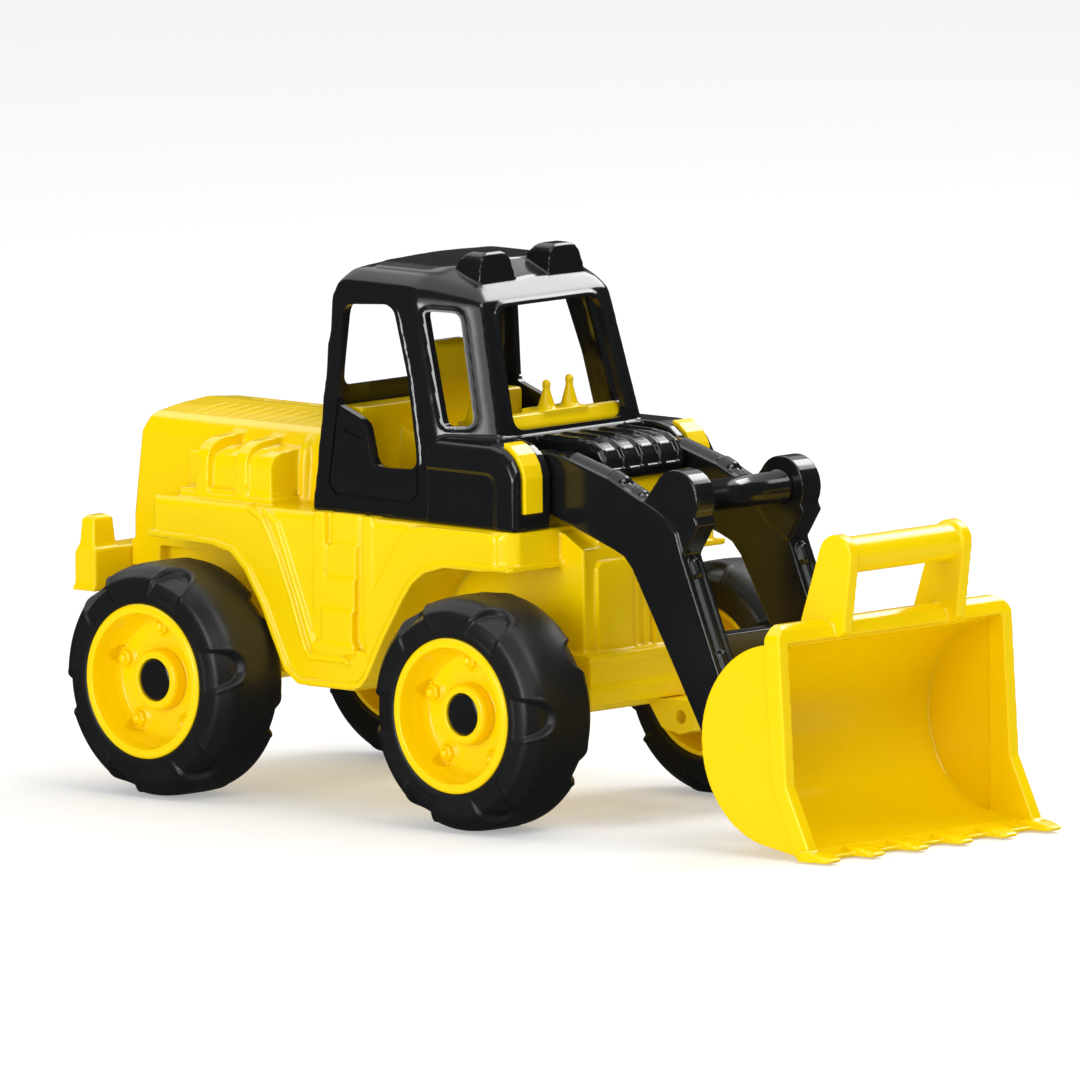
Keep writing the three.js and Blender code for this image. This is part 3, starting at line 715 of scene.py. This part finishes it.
def engine_cover(cab):
    outline = [(196, 194), (271, 194), (272.6, 199), (271, 206), (267.5, 211.5), (262, 214.6),
               (252, 216), (196, 216.6)]
    cab.add(prism_y(outline, -GRILLE_Y, GRILLE_Y))
    cab.add(box(196, 273.6, -GRILLE_Y, GRILLE_Y, 198.3, 200.6))
    rib = [(224, 212), (224, 218), (252, 217.6), (262.5, 216.2), (269, 212.6), (272.8, 206.5),
           (274, 200), (270, 200), (266, 208), (258, 212)]
    for i in range(COVER_RIBS):
        y = (i - (COVER_RIBS - 1) / 2) * COVER_RIB_PITCH
        cab.add(prism_y(rib, y - 1.6, y + 1.6))


def window_solids():
    """Solids that fill each window, with the outline grown by the bead's width or not at all."""
    wide, plain = [], []
    for grow, made in ((2.3, wide), (0, plain)):
        for outline, corner in ((DOOR_WINDOW, 3), (QUARTER_WINDOW, 3)):
            opening = rounded(grown(outline, grow), corner)
            made += [prism_y(opening, 30, 90), prism_y(opening, -90, -30)]
        made.append(prism_x(rounded(grown(WINDSCREEN, grow), 9), 188, 245))
        made.append(prism_x(rounded(grown(REAR_WINDOW, grow), 8), 78, 102))
    return wide, plain


def roof_lamps(cab):
    """Two lamp humps that stand on the roof's front edge."""
    for side in (1, -1):
        points = []
        for half, z, back, front in ((14.7, 301, 163, 186), (14.2, 307, 164.5, 185.4),
                                     (12, 314, 167, 184.6), (9.5, 317.4, 169.5, 183.6),
                                     (6.3, 318.8, 172, 182)):
            points += [(x, side * 28.5 + dy, z) for x in (back, front) for dy in (-half, half)]
        cab.add(hull(points))


def lamp_pockets(cab):
    outline = [(235.6, 214.2), (241, 211.2), (245.6, 205), (248.8, 197), (248.8, 177.6),
               (256, 177.6), (256, 208), (250, 220), (235.6, 224)]
    for side in (1, -1):
        cab.cut(prism_y(outline, side * 62, side * 77.5))


def cab_mould():
    wide, plain = window_solids()
    cab = Mould(soft_cab(0))
    proud, sunk = soft_cab(-0.9), soft_cab(1.2)
    for bead in wide:
        cab.add(raised(bead, proud))
    pad = rounded([(112, -56), (164, -56), (164, 56), (112, 56)], 8)
    cab.add(raised(loft([[(x, y, z) for x, y in pad] for z in (295, 320)]), proud))
    wings(cab)
    engine_cover(cab)
    roof_lamps(cab)
    inside = Mould(soft_cab(3.2))
    inside.cut(box(214.2, 300, -90, 90, 100, 216.4))
    cab.cut(inside.crisp())
    for side in (1, -1):
        cab.cut(box(217.5, 280, side * GRILLE_Y, side * ARM_SLOT_Y, 150, 212.4))
        cab.cut(box(219.4, 280, side * GRILLE_Y, side * ARM_SLOT_Y, 212, 222))
    cab.cut(box(213, 280, -GRILLE_Y - 1, GRILLE_Y + 1, 150, 193.8))
    cab.cut(box(230, 262, -GRILLE_Y + 3, GRILLE_Y - 3, 190, 209))
    lamp_pockets(cab)
    cab.cut(rod_y(LIFT[0], LIFT[1], 4.4, -60, 60))
    cab.cut(box(60, 280, -95, 95, 140, DECK_Z + 0.3))
    cab = Mould(object_of(cab.finished(voxel=0.85, smooth=4, keep=0.3)))
    cab.cut(*plain)
    for side in (1, -1):
        for path, width in ((DOOR_GROOVE, 1.7), (DOOR_HANDLE, 2.6)):
            line = prism_y(ribbon(path, width), side * 60, side * 90)
            cab.cut(engraved(line, sunk))
    return creased(made_mesh(cab.base))


def interior_mould():
    """Shelf, bucket seat and dashboard in one moulding, with three control levers."""
    plan = [(89.5, 73), (190, 73), (213.5, 61)]
    inside = Mould(hull(both_sides([(x, y, z) for x, y in plan for z in (DECK_Z + 0.4, 171.3)])))
    inside.add(hull(both_sides([(91, 70, 169), (114, 70, 169), (94, 66, 226), (95.5, 66, 227.6),
                                (113, 66, 227.6), (114, 66, 226)])))
    inside.add(hull(both_sides([(110, 36, 169), (150, 36, 169), (112, 34, 204), (112, 34, 215),
                                (148, 33, 200)])))
    inside.add(box(112, 166, -20, 20, 169, 206))
    back = [(111, 205), (129, 205), (126.5, 232), (128, 236), (124.5, 259), (117.5, 262.5),
            (112, 259)]
    inside.add(prism_y(rounded(back, 3), -18.5, 18.5))
    for side in (1, -1):
        inside.cut(prism_x([(side * 9, 263.5), (side * 20, 263.5), (side * 20, 250),
                            (side * 17, 257.5)], 108, 130))
    dash = [(190, 169), (211.5, 169), (209.6, 221), (206, 227.4), (203, 228), (201.5, 223.5),
            (190, 223)]
    inside.add(prism_y(dash, -50, 50))
    inside.add(box(190, 208, -14, 22, 200, 228.6))
    for x, y, foot, top in ((201, -5, 226, 245), (201, 14, 226, 246.5), (178, -40, 222, 241)):
        height = top - foot
        profile = [(6, foot - 3), (6, foot + 1), (4.9, foot + height * 0.2),
                   (2.6, foot + height * 0.62), (2.1, foot + height * 0.74),
                   (2.7, top - 3.4), (2.2, top - 1), (0.8, top)]
        inside.add(turned_z(x, y, profile))
    inside.add(hull([(168, -46, 169), (168, -32, 169), (188, -46, 169), (188, -32, 169),
                     (169, -45, 222), (169, -33, 222), (187, -45, 222), (187, -33, 222)]))
    return inside.finished(voxel=1.0, smooth=4, keep=0.35)


def lamp_lens(side):
    outline = [(235.9, 214.6), (241.2, 211.6), (245.9, 205.2), (249.1, 197.1), (249.1, 178),
               (252.4, 178), (252.4, 198.5), (250.6, 205.2), (246.4, 211.8), (240.4, 216.4),
               (235.9, 218)]
    lens = Mould(prism_y(outline, side * 62.4, side * 77.1))
    return lens.finished(voxel=0.5, smooth=3, keep=0.5)


# ---------------------------------------------------------------- wheels

TYRE_SECTION = [(44.9, 26.6), (47, 27), (50, 26.9), (57.7, 26.9), (60, 25.6), (61.5, 23.9),
                (64.6, 20.6), (66.3, 17.4), (67, 12.5), (67.3, 6), (67.3, 0)]
POCKETS = 6
POCKET_FROM = 4.5       # where a pocket opens, along the section from the bead
POCKET_TO = 33          # where its rounded tip ends
POCKET_HALF = 12.8
POCKET_DEPTH = 4.2
BEAD_HEIGHT = 0.55      # raised line round a pocket


def section_points(section, step):
    """Points spaced evenly along a section, with the distance run so far."""
    curve = bent([(r, y, 0) for r, y in section], 4, 4)
    lengths = [0.0]
    for a, b in zip(curve, curve[1:]):
        lengths.append(lengths[-1] + (b - a).length)
    count = max(2, round(lengths[-1] / step))
    points = []
    for i in range(count + 1):
        at = lengths[-1] * i / count
        j = next((k for k in range(1, len(lengths)) if lengths[k] >= at - 1e-9), len(lengths) - 1)
        span = lengths[j] - lengths[j - 1]
        share = (at - lengths[j - 1]) / span if span else 0
        point = curve[j - 1].lerp(curve[j], share)
        points.append((point.x, point.y, at))
    return points


def smooth_step(value):
    value = min(1, max(0, value))
    return value * value * (3 - 2 * value)


def pocket_depth(distance, across):
    """How deep the tread pocket is, at a distance along the section and across its middle."""
    reach = (distance - POCKET_FROM) / (POCKET_TO - POCKET_FROM)
    if reach <= 0 or reach >= 1.2:
        return 0
    half = POCKET_HALF * (1 - 0.22 * reach)
    edge = (abs(across) / half) ** 2.6 + max(0, reach) ** 3.2
    inside = (1 - edge ** 0.385) * half
    ramp = 0.1 + 0.9 * smooth_step(reach * 1.25)
    bead = max(0, 1 - abs(inside + 1.1) / 1.4)
    return ramp * (POCKET_DEPTH * smooth_step(inside / 1.7) - BEAD_HEIGHT * smooth_step(bead))


def tyre_mesh(first_pocket):
    """Wide moulded tyre with scooped pockets, staggered from one side to the other.

    It is turned about Y, with its outer side towards -Y and its middle at y = 0.
    """
    around = 480
    outer = section_points(TYRE_SECTION, 1.0)
    rows = [(r, -y, at, 1) for r, y, at in outer] + [(r, y, at, -1) for r, y, at in outer[-2::-1]]
    points = []
    for index, (r, y, at, half) in enumerate(rows):
        near = rows[min(index + 1, len(rows) - 1)]
        far = rows[max(index - 1, 0)]
        along = Vector((near[0] - far[0], near[1] - far[1])).normalized()
        inward = Vector((along.y, -along.x)) * -1
        for i in range(around):
            turn = 360 * i / around
            start = first_pocket + (0 if half > 0 else 180 / POCKETS)
            offset = (turn - start + 180 / POCKETS) % (360 / POCKETS) - 180 / POCKETS
            depth = pocket_depth(at, math.radians(offset) * r)
            radius = min(r + inward.x * depth, TYRE_R)
            angle = math.radians(turn)
            points.append((radius * math.cos(angle), y + inward.y * depth,
                           radius * math.sin(angle)))
    back = [(RIM_R - 0.2, 25), (RIM_R - 0.2, -25.6)]
    for r, y in back:
        points += [(r * math.cos(math.radians(360 * i / around)), y,
                    r * math.sin(math.radians(360 * i / around))) for i in range(around)]
    count = len(rows) + len(back)
    faces = []
    for row in range(count):
        for i in range(around):
            a = row * around + i
            b = row * around + (i + 1) % around
            step = ((row + 1) % count - row) * around
            faces.append([a, b, b + step, a + step])
    return solid(points, faces).data.copy()


def rim_mesh():
    """Dished rim with five moulded hex nuts, a hub boss and a recess for its cap.

    It is turned about Y, with its outer side towards -Y and the tyre's middle at y = 0.
    """
    lip, dish = -LIP_OUT, -DISH_OUT
    wheel = Mould(turned_y(0, 0, [(RIM_R - 1.2, 25.5), (RIM_R, 24), (RIM_R, lip + 1.4),
                                  (RIM_R - 1.6, lip), (RIM_R - 4.6, lip)], 96))
    wheel.cut(turned_y(0, 0, [(39.8, lip - 2), (39, lip + 1.4), (38, lip + 9),
                              (36, dish - 3.4), (34, dish), (26, dish)], 96))
    wheel.cut(turned_y(0, 0, [(41, 26), (40.5, dish + 6), (38, dish + 3)], 96))
    wheel.add(turned_y(0, 0, [(12, 25), (12, dish), (16.6, dish), (17.6, dish - 2.2),
                              (17.5, -15.6), (16.2, -17.4), (14.4, -17.7)], 64))
    for i in range(NUTS):
        turn = math.radians(17 + 360 / NUTS * i)
        x, z = NUT_CIRCLE_R * math.cos(turn), NUT_CIRCLE_R * math.sin(turn)
        wheel.cut(rod_y(x, z, 7.4, dish, -40))
        wheel.add(rod_y(x, z, 6.1, dish + 1, dish - 1.1, 32))
        hexagon = [(x + u, z + v) for u, v in circle(4.9, 6, turn)]
        wheel.add(prism_y(hexagon, dish + 1, dish - 4.2))
        wheel.add(turned_y(x, z, [(2.9, dish), (2.9, dish - 5.2), (2.3, dish - 6.4),
                                  (1, dish - 7)], 20))
    wheel.cut(turned_y(0, 0, [(12.3, -30), (12.3, -11.3)], 64))
    wheel.cut(rod_y(0, 0, 4.35, -40, 40))
    return wheel.finished(voxel=0.62, smooth=4, keep=0.3)


def hub_cap_mesh():
    """Flat black cap with a rounded edge and a shallow ring."""
    profile = [(11.2, -12.9), (12, -13.4), (12, -15.7), (11.3, -16.6), (10.2, -16.9),
               (9.6, -16.6), (8.6, -16.5), (4, -16.8), (0.6, -16.9)]
    cap = turned_y(0, 0, profile, 64)
    return cap.data.copy()


def wheel_pieces():
    rim_form = rim_mesh()
    cap_form = hub_cap_mesh()
    for end, x in (("rear", 0), ("front", WHEELBASE)):
        tyre_form = tyre_mesh(WHEEL_TURN[end])
        for side, y, turn in (("right", -WHEEL_Y, 0), ("left", WHEEL_Y, math.pi)):
            here = Matrix.Translation((x, y, TYRE_R)) @ Matrix.Rotation(turn, 4, "Z")
            body = f"{end}_wheel_{side}"
            for kind, form, look, slot in (("tyre", tyre_form, RUBBER, "tyre_plastic"),
                                           ("rim", rim_form, YELLOW, "yellow_plastic"),
                                           ("hub_cap", cap_form, BLACK, "black_plastic")):
                mesh = form.copy()
                mesh.transform(here)
                name = f"{end}_{kind}_{side}"
                piece = place(f"moulded_{name}", mesh, look, body, slot, name)
                if kind == "rim":
                    even_shading(piece)


# ---------------------------------------------------------------- loader arms

def arc(x, z, radius, start, end, steps=14):
    """Points on a circle in the side view, from one angle to another, in degrees."""
    turns = [math.radians(start + (end - start) * i / steps) for i in range(steps + 1)]
    return [(x + radius * math.cos(turn), z + radius * math.sin(turn)) for turn in turns]


def arm_outline():
    return ([(248, 176), (297, 159.6), (306, 156), (312.5, 149)]
            + arc(*TILT, 13, 183, 374) + [(350, 162.5), (346.6, 172.5), (338, 180), (331, 184)]
            + [(294, 199.5), (258, 209.5), (249, 210.6), (243, 209.8)]
            + arc(*LIFT, 17, 66, 309))


def arm_mould():
    """Right-hand arm: boom, leg and the eye that holds the grab bar."""
    arm = Mould(prism_y(arm_outline(), -ARM_OUT_Y, -ARM_IN_Y))
    eye = [(319, 187), (333, 171), (351, 160.5), (362.5, 178)] + arc(*GRAB, 17.5, -30, 149)
    arm.add(prism_y(eye, -ARM_OUT_Y + 1.4, -ARM_IN_Y + 0.6))
    channel = [(354.2, 158.4), (399, 54), (405, 58), (360, 164)]
    arm.cut(prism_y([(x - 3.4, z - 1.4) for x, z in channel], -ARM_OUT_Y + 3.4, -ARM_IN_Y - 2.6))
    rod = [(354.2, -ARM_MID_Y, 150), (372.6, -ARM_MID_Y, 107.3)]
    arm.add(tube(rod, 2.9, 20))
    arm.add(tube([(351.8, -ARM_MID_Y, 155.5), (354.6, -ARM_MID_Y, 149.2)], 4.3, 20))
    arm.add(tube([(373.6, -ARM_MID_Y, 104.6), (381.4, -ARM_MID_Y, 86.4)], 3.6, 20))
    barrel = [(262, -ARM_MID_Y, 205.6), (294.5, -ARM_MID_Y, 196.6)]
    arm.add(tube(barrel, 6.2, 24))
    arm.add(tube([(292.6, -ARM_MID_Y, 197), (297.4, -ARM_MID_Y, 195)], 7.0, 24))
    arm.add(tube([(297, -ARM_MID_Y, 194.8), (326, -ARM_MID_Y, 182.6)], 4.6, 24))
    arm.add(tube([(309.4, -ARM_MID_Y, 190.2), (312, -ARM_MID_Y, 189)], 5.8, 24))
    arm.cut(rod_y(*LIFT, 4.5, -60, -30), rod_y(*TILT, 3.9, -60, -30))
    arm.cut(rod_y(*GRAB, 9.3, -44, -30))
    return arm.finished(voxel=0.75, smooth=3, keep=0.3)


def grab_bar_mesh():
    """Round bar with a collar beside each arm."""
    half = 43.7
    profile = [(8.2, -half), (9, -half + 1), (9, -36.2), (9.9, -35.8), (9.9, -33.4), (9, -33),
               (9, 33), (9.9, 33.4), (9.9, 35.8), (9, 36.2), (9, half - 1), (8.2, half)]
    return turned_y(*GRAB, profile, 64).data.copy()


def cross_bar_mould():
    low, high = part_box("arm_cross_bar")
    x0, x1 = ((v - ORIGIN_X) / MM for v in (low.x, high.x))
    bar = Mould(box(x0, x1, -41.7, 41.7, low.z / MM, high.z / MM))
    return bar.finished(voxel=0.8, smooth=4, keep=0.4)


def pin_head(side):
    """Domed head of the pin that the bucket tilts about."""
    out = side * (ARM_OUT_Y + 0.3)
    profile = [(3.4, side * 27), (3.4, out), (7, out), (6.9, out + side * 1.3),
               (5.6, out + side * 2.3), (3, out + side * 2.6)]
    return turned_y(*TILT, profile, 40).data.copy()


# ---------------------------------------------------------------- bucket

def bucket_outline(inset):
    back = arc(*BOWL, BOWL_R - inset, 97.4, 262.6, 30)
    return ([(490 + inset, 0.6 + inset), (471 + inset, 42), (467 + inset, 124 - inset),
             (456, 122.5 - inset)] + back + [(456, BOWL[1] - BOWL_R + 0.3 + inset)])


def lip_outline():
    return [(489, 0.4), (492, 2.5), (472.4, 42), (467.7, 124), (465.7, 130), (461, 133),
            (456, 133), (455.5, 121.5), (460.5, 42), (479, 2)]


def bucket_mould():
    """Scoop with six bevelled teeth, a rolled lip and a round handle on two lugs."""
    scoop = Mould(prism_y(bucket_outline(0), -BUCKET_Y, BUCKET_Y))
    scoop.add(prism_y(lip_outline(), -LIP_Y, LIP_Y))
    for side in (1, -1):
        corner = [(side * 86, 134), (side * 98, 134), (side * 98, 122), (side * 95.6, 127.4),
                  (side * 91.6, 131.4)]
        scoop.cut(prism_x(corner, 440, 480))
        lug = ([(440, 114), (470, 122.5), (474.5, 126)]
               + arc(BAR[0], BAR[1], 12.5, -18, 160) + [(438, 122)])
        scoop.add(prism_y(lug, side * 43, side * 50.5))
        ear = [(412, 40), (412, 84), (TILT[0] + 1, TILT[1] + 10)] + arc(*TILT, 10, 90, 300)
        scoop.add(prism_y(ear, side * 27, side * 35.5))
    scoop.add(rod_y(*BAR, BAR_R, -44, 44, 48))
    mouth = [(520, 3.4), (484, 3.4), (478, 5.5), (455, 42), (452, 121.5), (480, 123.6), (520, 60)]
    scoop.cut(prism_y(mouth, -MOUTH_Y, MOUTH_Y))
    room = prism_y(bucket_outline(WALL), -BUCKET_Y + WALL, BUCKET_Y - WALL)
    keep_lip = Mould(room)
    for side in (1, -1):
        keep_lip.cut(box(456, 520, side * MOUTH_Y, side * 100, -5, 140))
    scoop.cut(object_of(made_mesh(keep_lip.base)))
    for i in range(TEETH):
        y = (i - (TEETH - 1) / 2) * TOOTH_PITCH
        low = [(482, y - 7.5, 0.8), (482, y + 7.5, 0.8), (502.5, y - 5.6, 1), (502.5, y + 5.6, 1),
               (506, y - 4.6, 2.4), (506, y + 4.6, 2.4)]
        high = [(483, y - 7.5, 6.4), (483, y + 7.5, 6.4), (505.4, y - 4.6, 3.8),
                (505.4, y + 4.6, 3.8), (495, y - 6.6, 6.2), (495, y + 6.6, 6.2)]
        scoop.add(hull(low + high))
    for side in (1, -1):
        scoop.cut(rod_y(*TILT, 3.9, side * 20, side * 40))
    return scoop.finished(voxel=0.9, smooth=3, keep=0.33)


# ---------------------------------------------------------------- assembly

def build():
    moulded = [
        place("moulded_body", body_mould(), YELLOW, "chassis", "yellow_plastic", "body_shell"),
        place("moulded_bumper", bumper_mould(), YELLOW, "chassis", "yellow_plastic",
              "rear_bumper"),
        place("moulded_cab", cab_mould(), BLACK, "chassis", "black_plastic", "cab_shell"),
        place("moulded_interior", interior_mould(), YELLOW, "chassis", "yellow_plastic",
              "cab_interior"),
        place("moulded_cross_bar", cross_bar_mould(), BLACK, "loader_arms", "black_plastic",
              "arm_cross_bar"),
        place("moulded_bucket", bucket_mould(), YELLOW, "bucket", "yellow_plastic", "bucket"),
    ]
    arm = arm_mould()
    for side, sign in (("right", -1), ("left", 1)):
        mesh = arm.copy()
        if sign > 0:
            mesh.transform(Matrix.Scale(-1, 4, (0, 1, 0)))
            mesh.flip_normals()
        moulded.append(place(f"moulded_arm_{side}", mesh, BLACK, "loader_arms",
                             "black_plastic", f"arm_{side}"))
        moulded.append(place(f"lamp_lens_{side}", lamp_lens(sign), YELLOW, "chassis",
                             "yellow_plastic", f"lamp_insert_{side}"))
        place(f"pin_head_{side}", pin_head(sign), BLACK, "loader_arms", "black_plastic",
              f"bucket_pin_{side}")
    place("moulded_grab_bar", grab_bar_mesh(), BLACK, "loader_arms", "black_plastic",
          "grab_bar")
    for piece in moulded:
        even_shading(piece)
    wheel_pieces()
    looks = {"yellow_plastic": YELLOW, "steel": STEEL}
    for part in frame["record"]["subparts"]:
        node = frame["nodes"][part["node"]]
        if not node.hide_render:
            for slot in node.material_slots:
                slot.material = looks[part["material_slot"]]


# ---------------------------------------------------------------- studio

VIEW_TURN = math.radians(43.6)
VIEW_RISE = math.radians(7.1)
VIEW_ROLL = -0.0086
VIEW_WIDTH = 0.6156      # what the frame takes in across the object, in metres
LENS = 1500
AIM = Vector((-0.0138, 0, 0.1513))   # the point in the middle of the view
FLOOR_HALF = 24
FLOOR_GREY = 0.66
FLOOR_GLOW = 0.34        # lifts the floor to white without lighting the toy much
SURROUND = 0.05          # what the gloss mirrors where there is no softbox
LIGHTS_AIM = Vector((0, 0, 0.14))


def studio_camera():
    """A very long lens, because the view is almost parallel."""
    turn, rise = VIEW_TURN, VIEW_RISE
    forward = Vector((-math.sin(turn) * math.cos(rise), math.cos(turn) * math.cos(rise),
                      -math.sin(rise)))
    right = Vector((math.cos(turn), math.sin(turn), 0))
    up = right.cross(forward)
    right_rolled = right + up * VIEW_ROLL
    up_rolled = up - right * VIEW_ROLL
    data = bpy.data.cameras.new("camera")
    data.lens = LENS
    data.sensor_width = 36
    data.clip_end = 200
    camera = bpy.data.objects.new("camera", data)
    bpy.context.scene.collection.objects.link(camera)
    distance = VIEW_WIDTH * LENS / data.sensor_width
    axes = Matrix((right_rolled.normalized(), up_rolled.normalized(), -forward)).transposed()
    camera.matrix_world = Matrix.Translation(AIM - forward * distance) @ axes.to_4x4()
    bpy.context.scene.camera = camera


SOFTBOXES = [           # name, azimuth and elevation in degrees, distance, size, radiance
    ("ceiling", 133.6, 68, 9.5, (18, 18), 1.32),
    ("side_softbox", -68, 15, 3, (3.0, 1.9), 1.9),
    ("side_strip", -90, 9, 3, (0.55, 1.4), 12),
    ("back_softbox", 88, 42, 3, (1.5, 0.9), 9.0),
    ("front_softbox", -8, 46, 3, (1.5, 1.1), 5.5),
]


def soft_light(name, azimuth, elevation, distance, size, radiance):
    """A rectangular softbox aimed at the toy; a radiance of 1 looks as bright as white paper."""
    data = bpy.data.lights.new(name, "AREA")
    data.shape = "RECTANGLE"
    data.size, data.size_y = size
    data.energy = radiance * math.pi * size[0] * size[1]
    lamp = bpy.data.objects.new(name, data)
    turn, rise = math.radians(azimuth), math.radians(elevation)
    way = Vector((math.cos(turn) * math.cos(rise), math.sin(turn) * math.cos(rise),
                  math.sin(rise)))
    lamp.location = LIGHTS_AIM + way * distance
    lamp.rotation_euler = (-way).to_track_quat("-Z", "Y").to_euler()
    bpy.context.scene.collection.objects.link(lamp)


def studio():
    """A plain pale floor under a dim surround, and the softboxes."""
    half = FLOOR_HALF
    mesh = bpy.data.meshes.new("floor")
    mesh.from_pydata([(-half, -half, 0), (half, -half, 0), (half, half, 0), (-half, half, 0)],
                     [], [[0, 1, 2, 3]])
    floor = object_of(mesh, "floor", bpy.context.scene.collection)
    pale = bpy.data.materials.new("pale_floor")
    pale.use_nodes = True
    shader = pale.node_tree.nodes["Principled BSDF"]
    shader.inputs["Base Color"].default_value = (FLOOR_GREY, FLOOR_GREY, FLOOR_GREY, 1)
    shader.inputs["Emission Color"].default_value = (1, 1, 1, 1)
    shader.inputs["Emission Strength"].default_value = FLOOR_GLOW
    shader.inputs["Roughness"].default_value = 0.9
    shader.inputs["Specular IOR Level"].default_value = 0.1
    mesh.materials.append(pale)
    floor.visible_glossy = False

    world = bpy.data.worlds.new("studio")
    world.use_nodes = True
    world.node_tree.nodes["Background"].inputs["Color"].default_value = (1, 1, 1, 1)
    world.node_tree.nodes["Background"].inputs["Strength"].default_value = SURROUND
    bpy.context.scene.world = world
    bpy.context.scene.view_settings.view_transform = "Standard"

    for softbox in SOFTBOXES:
        soft_light(*softbox)


build()
studio_camera()
studio()
for leftover in list(scratch.objects):
    bpy.data.objects.remove(leftover)
bpy.data.collections.remove(scratch)
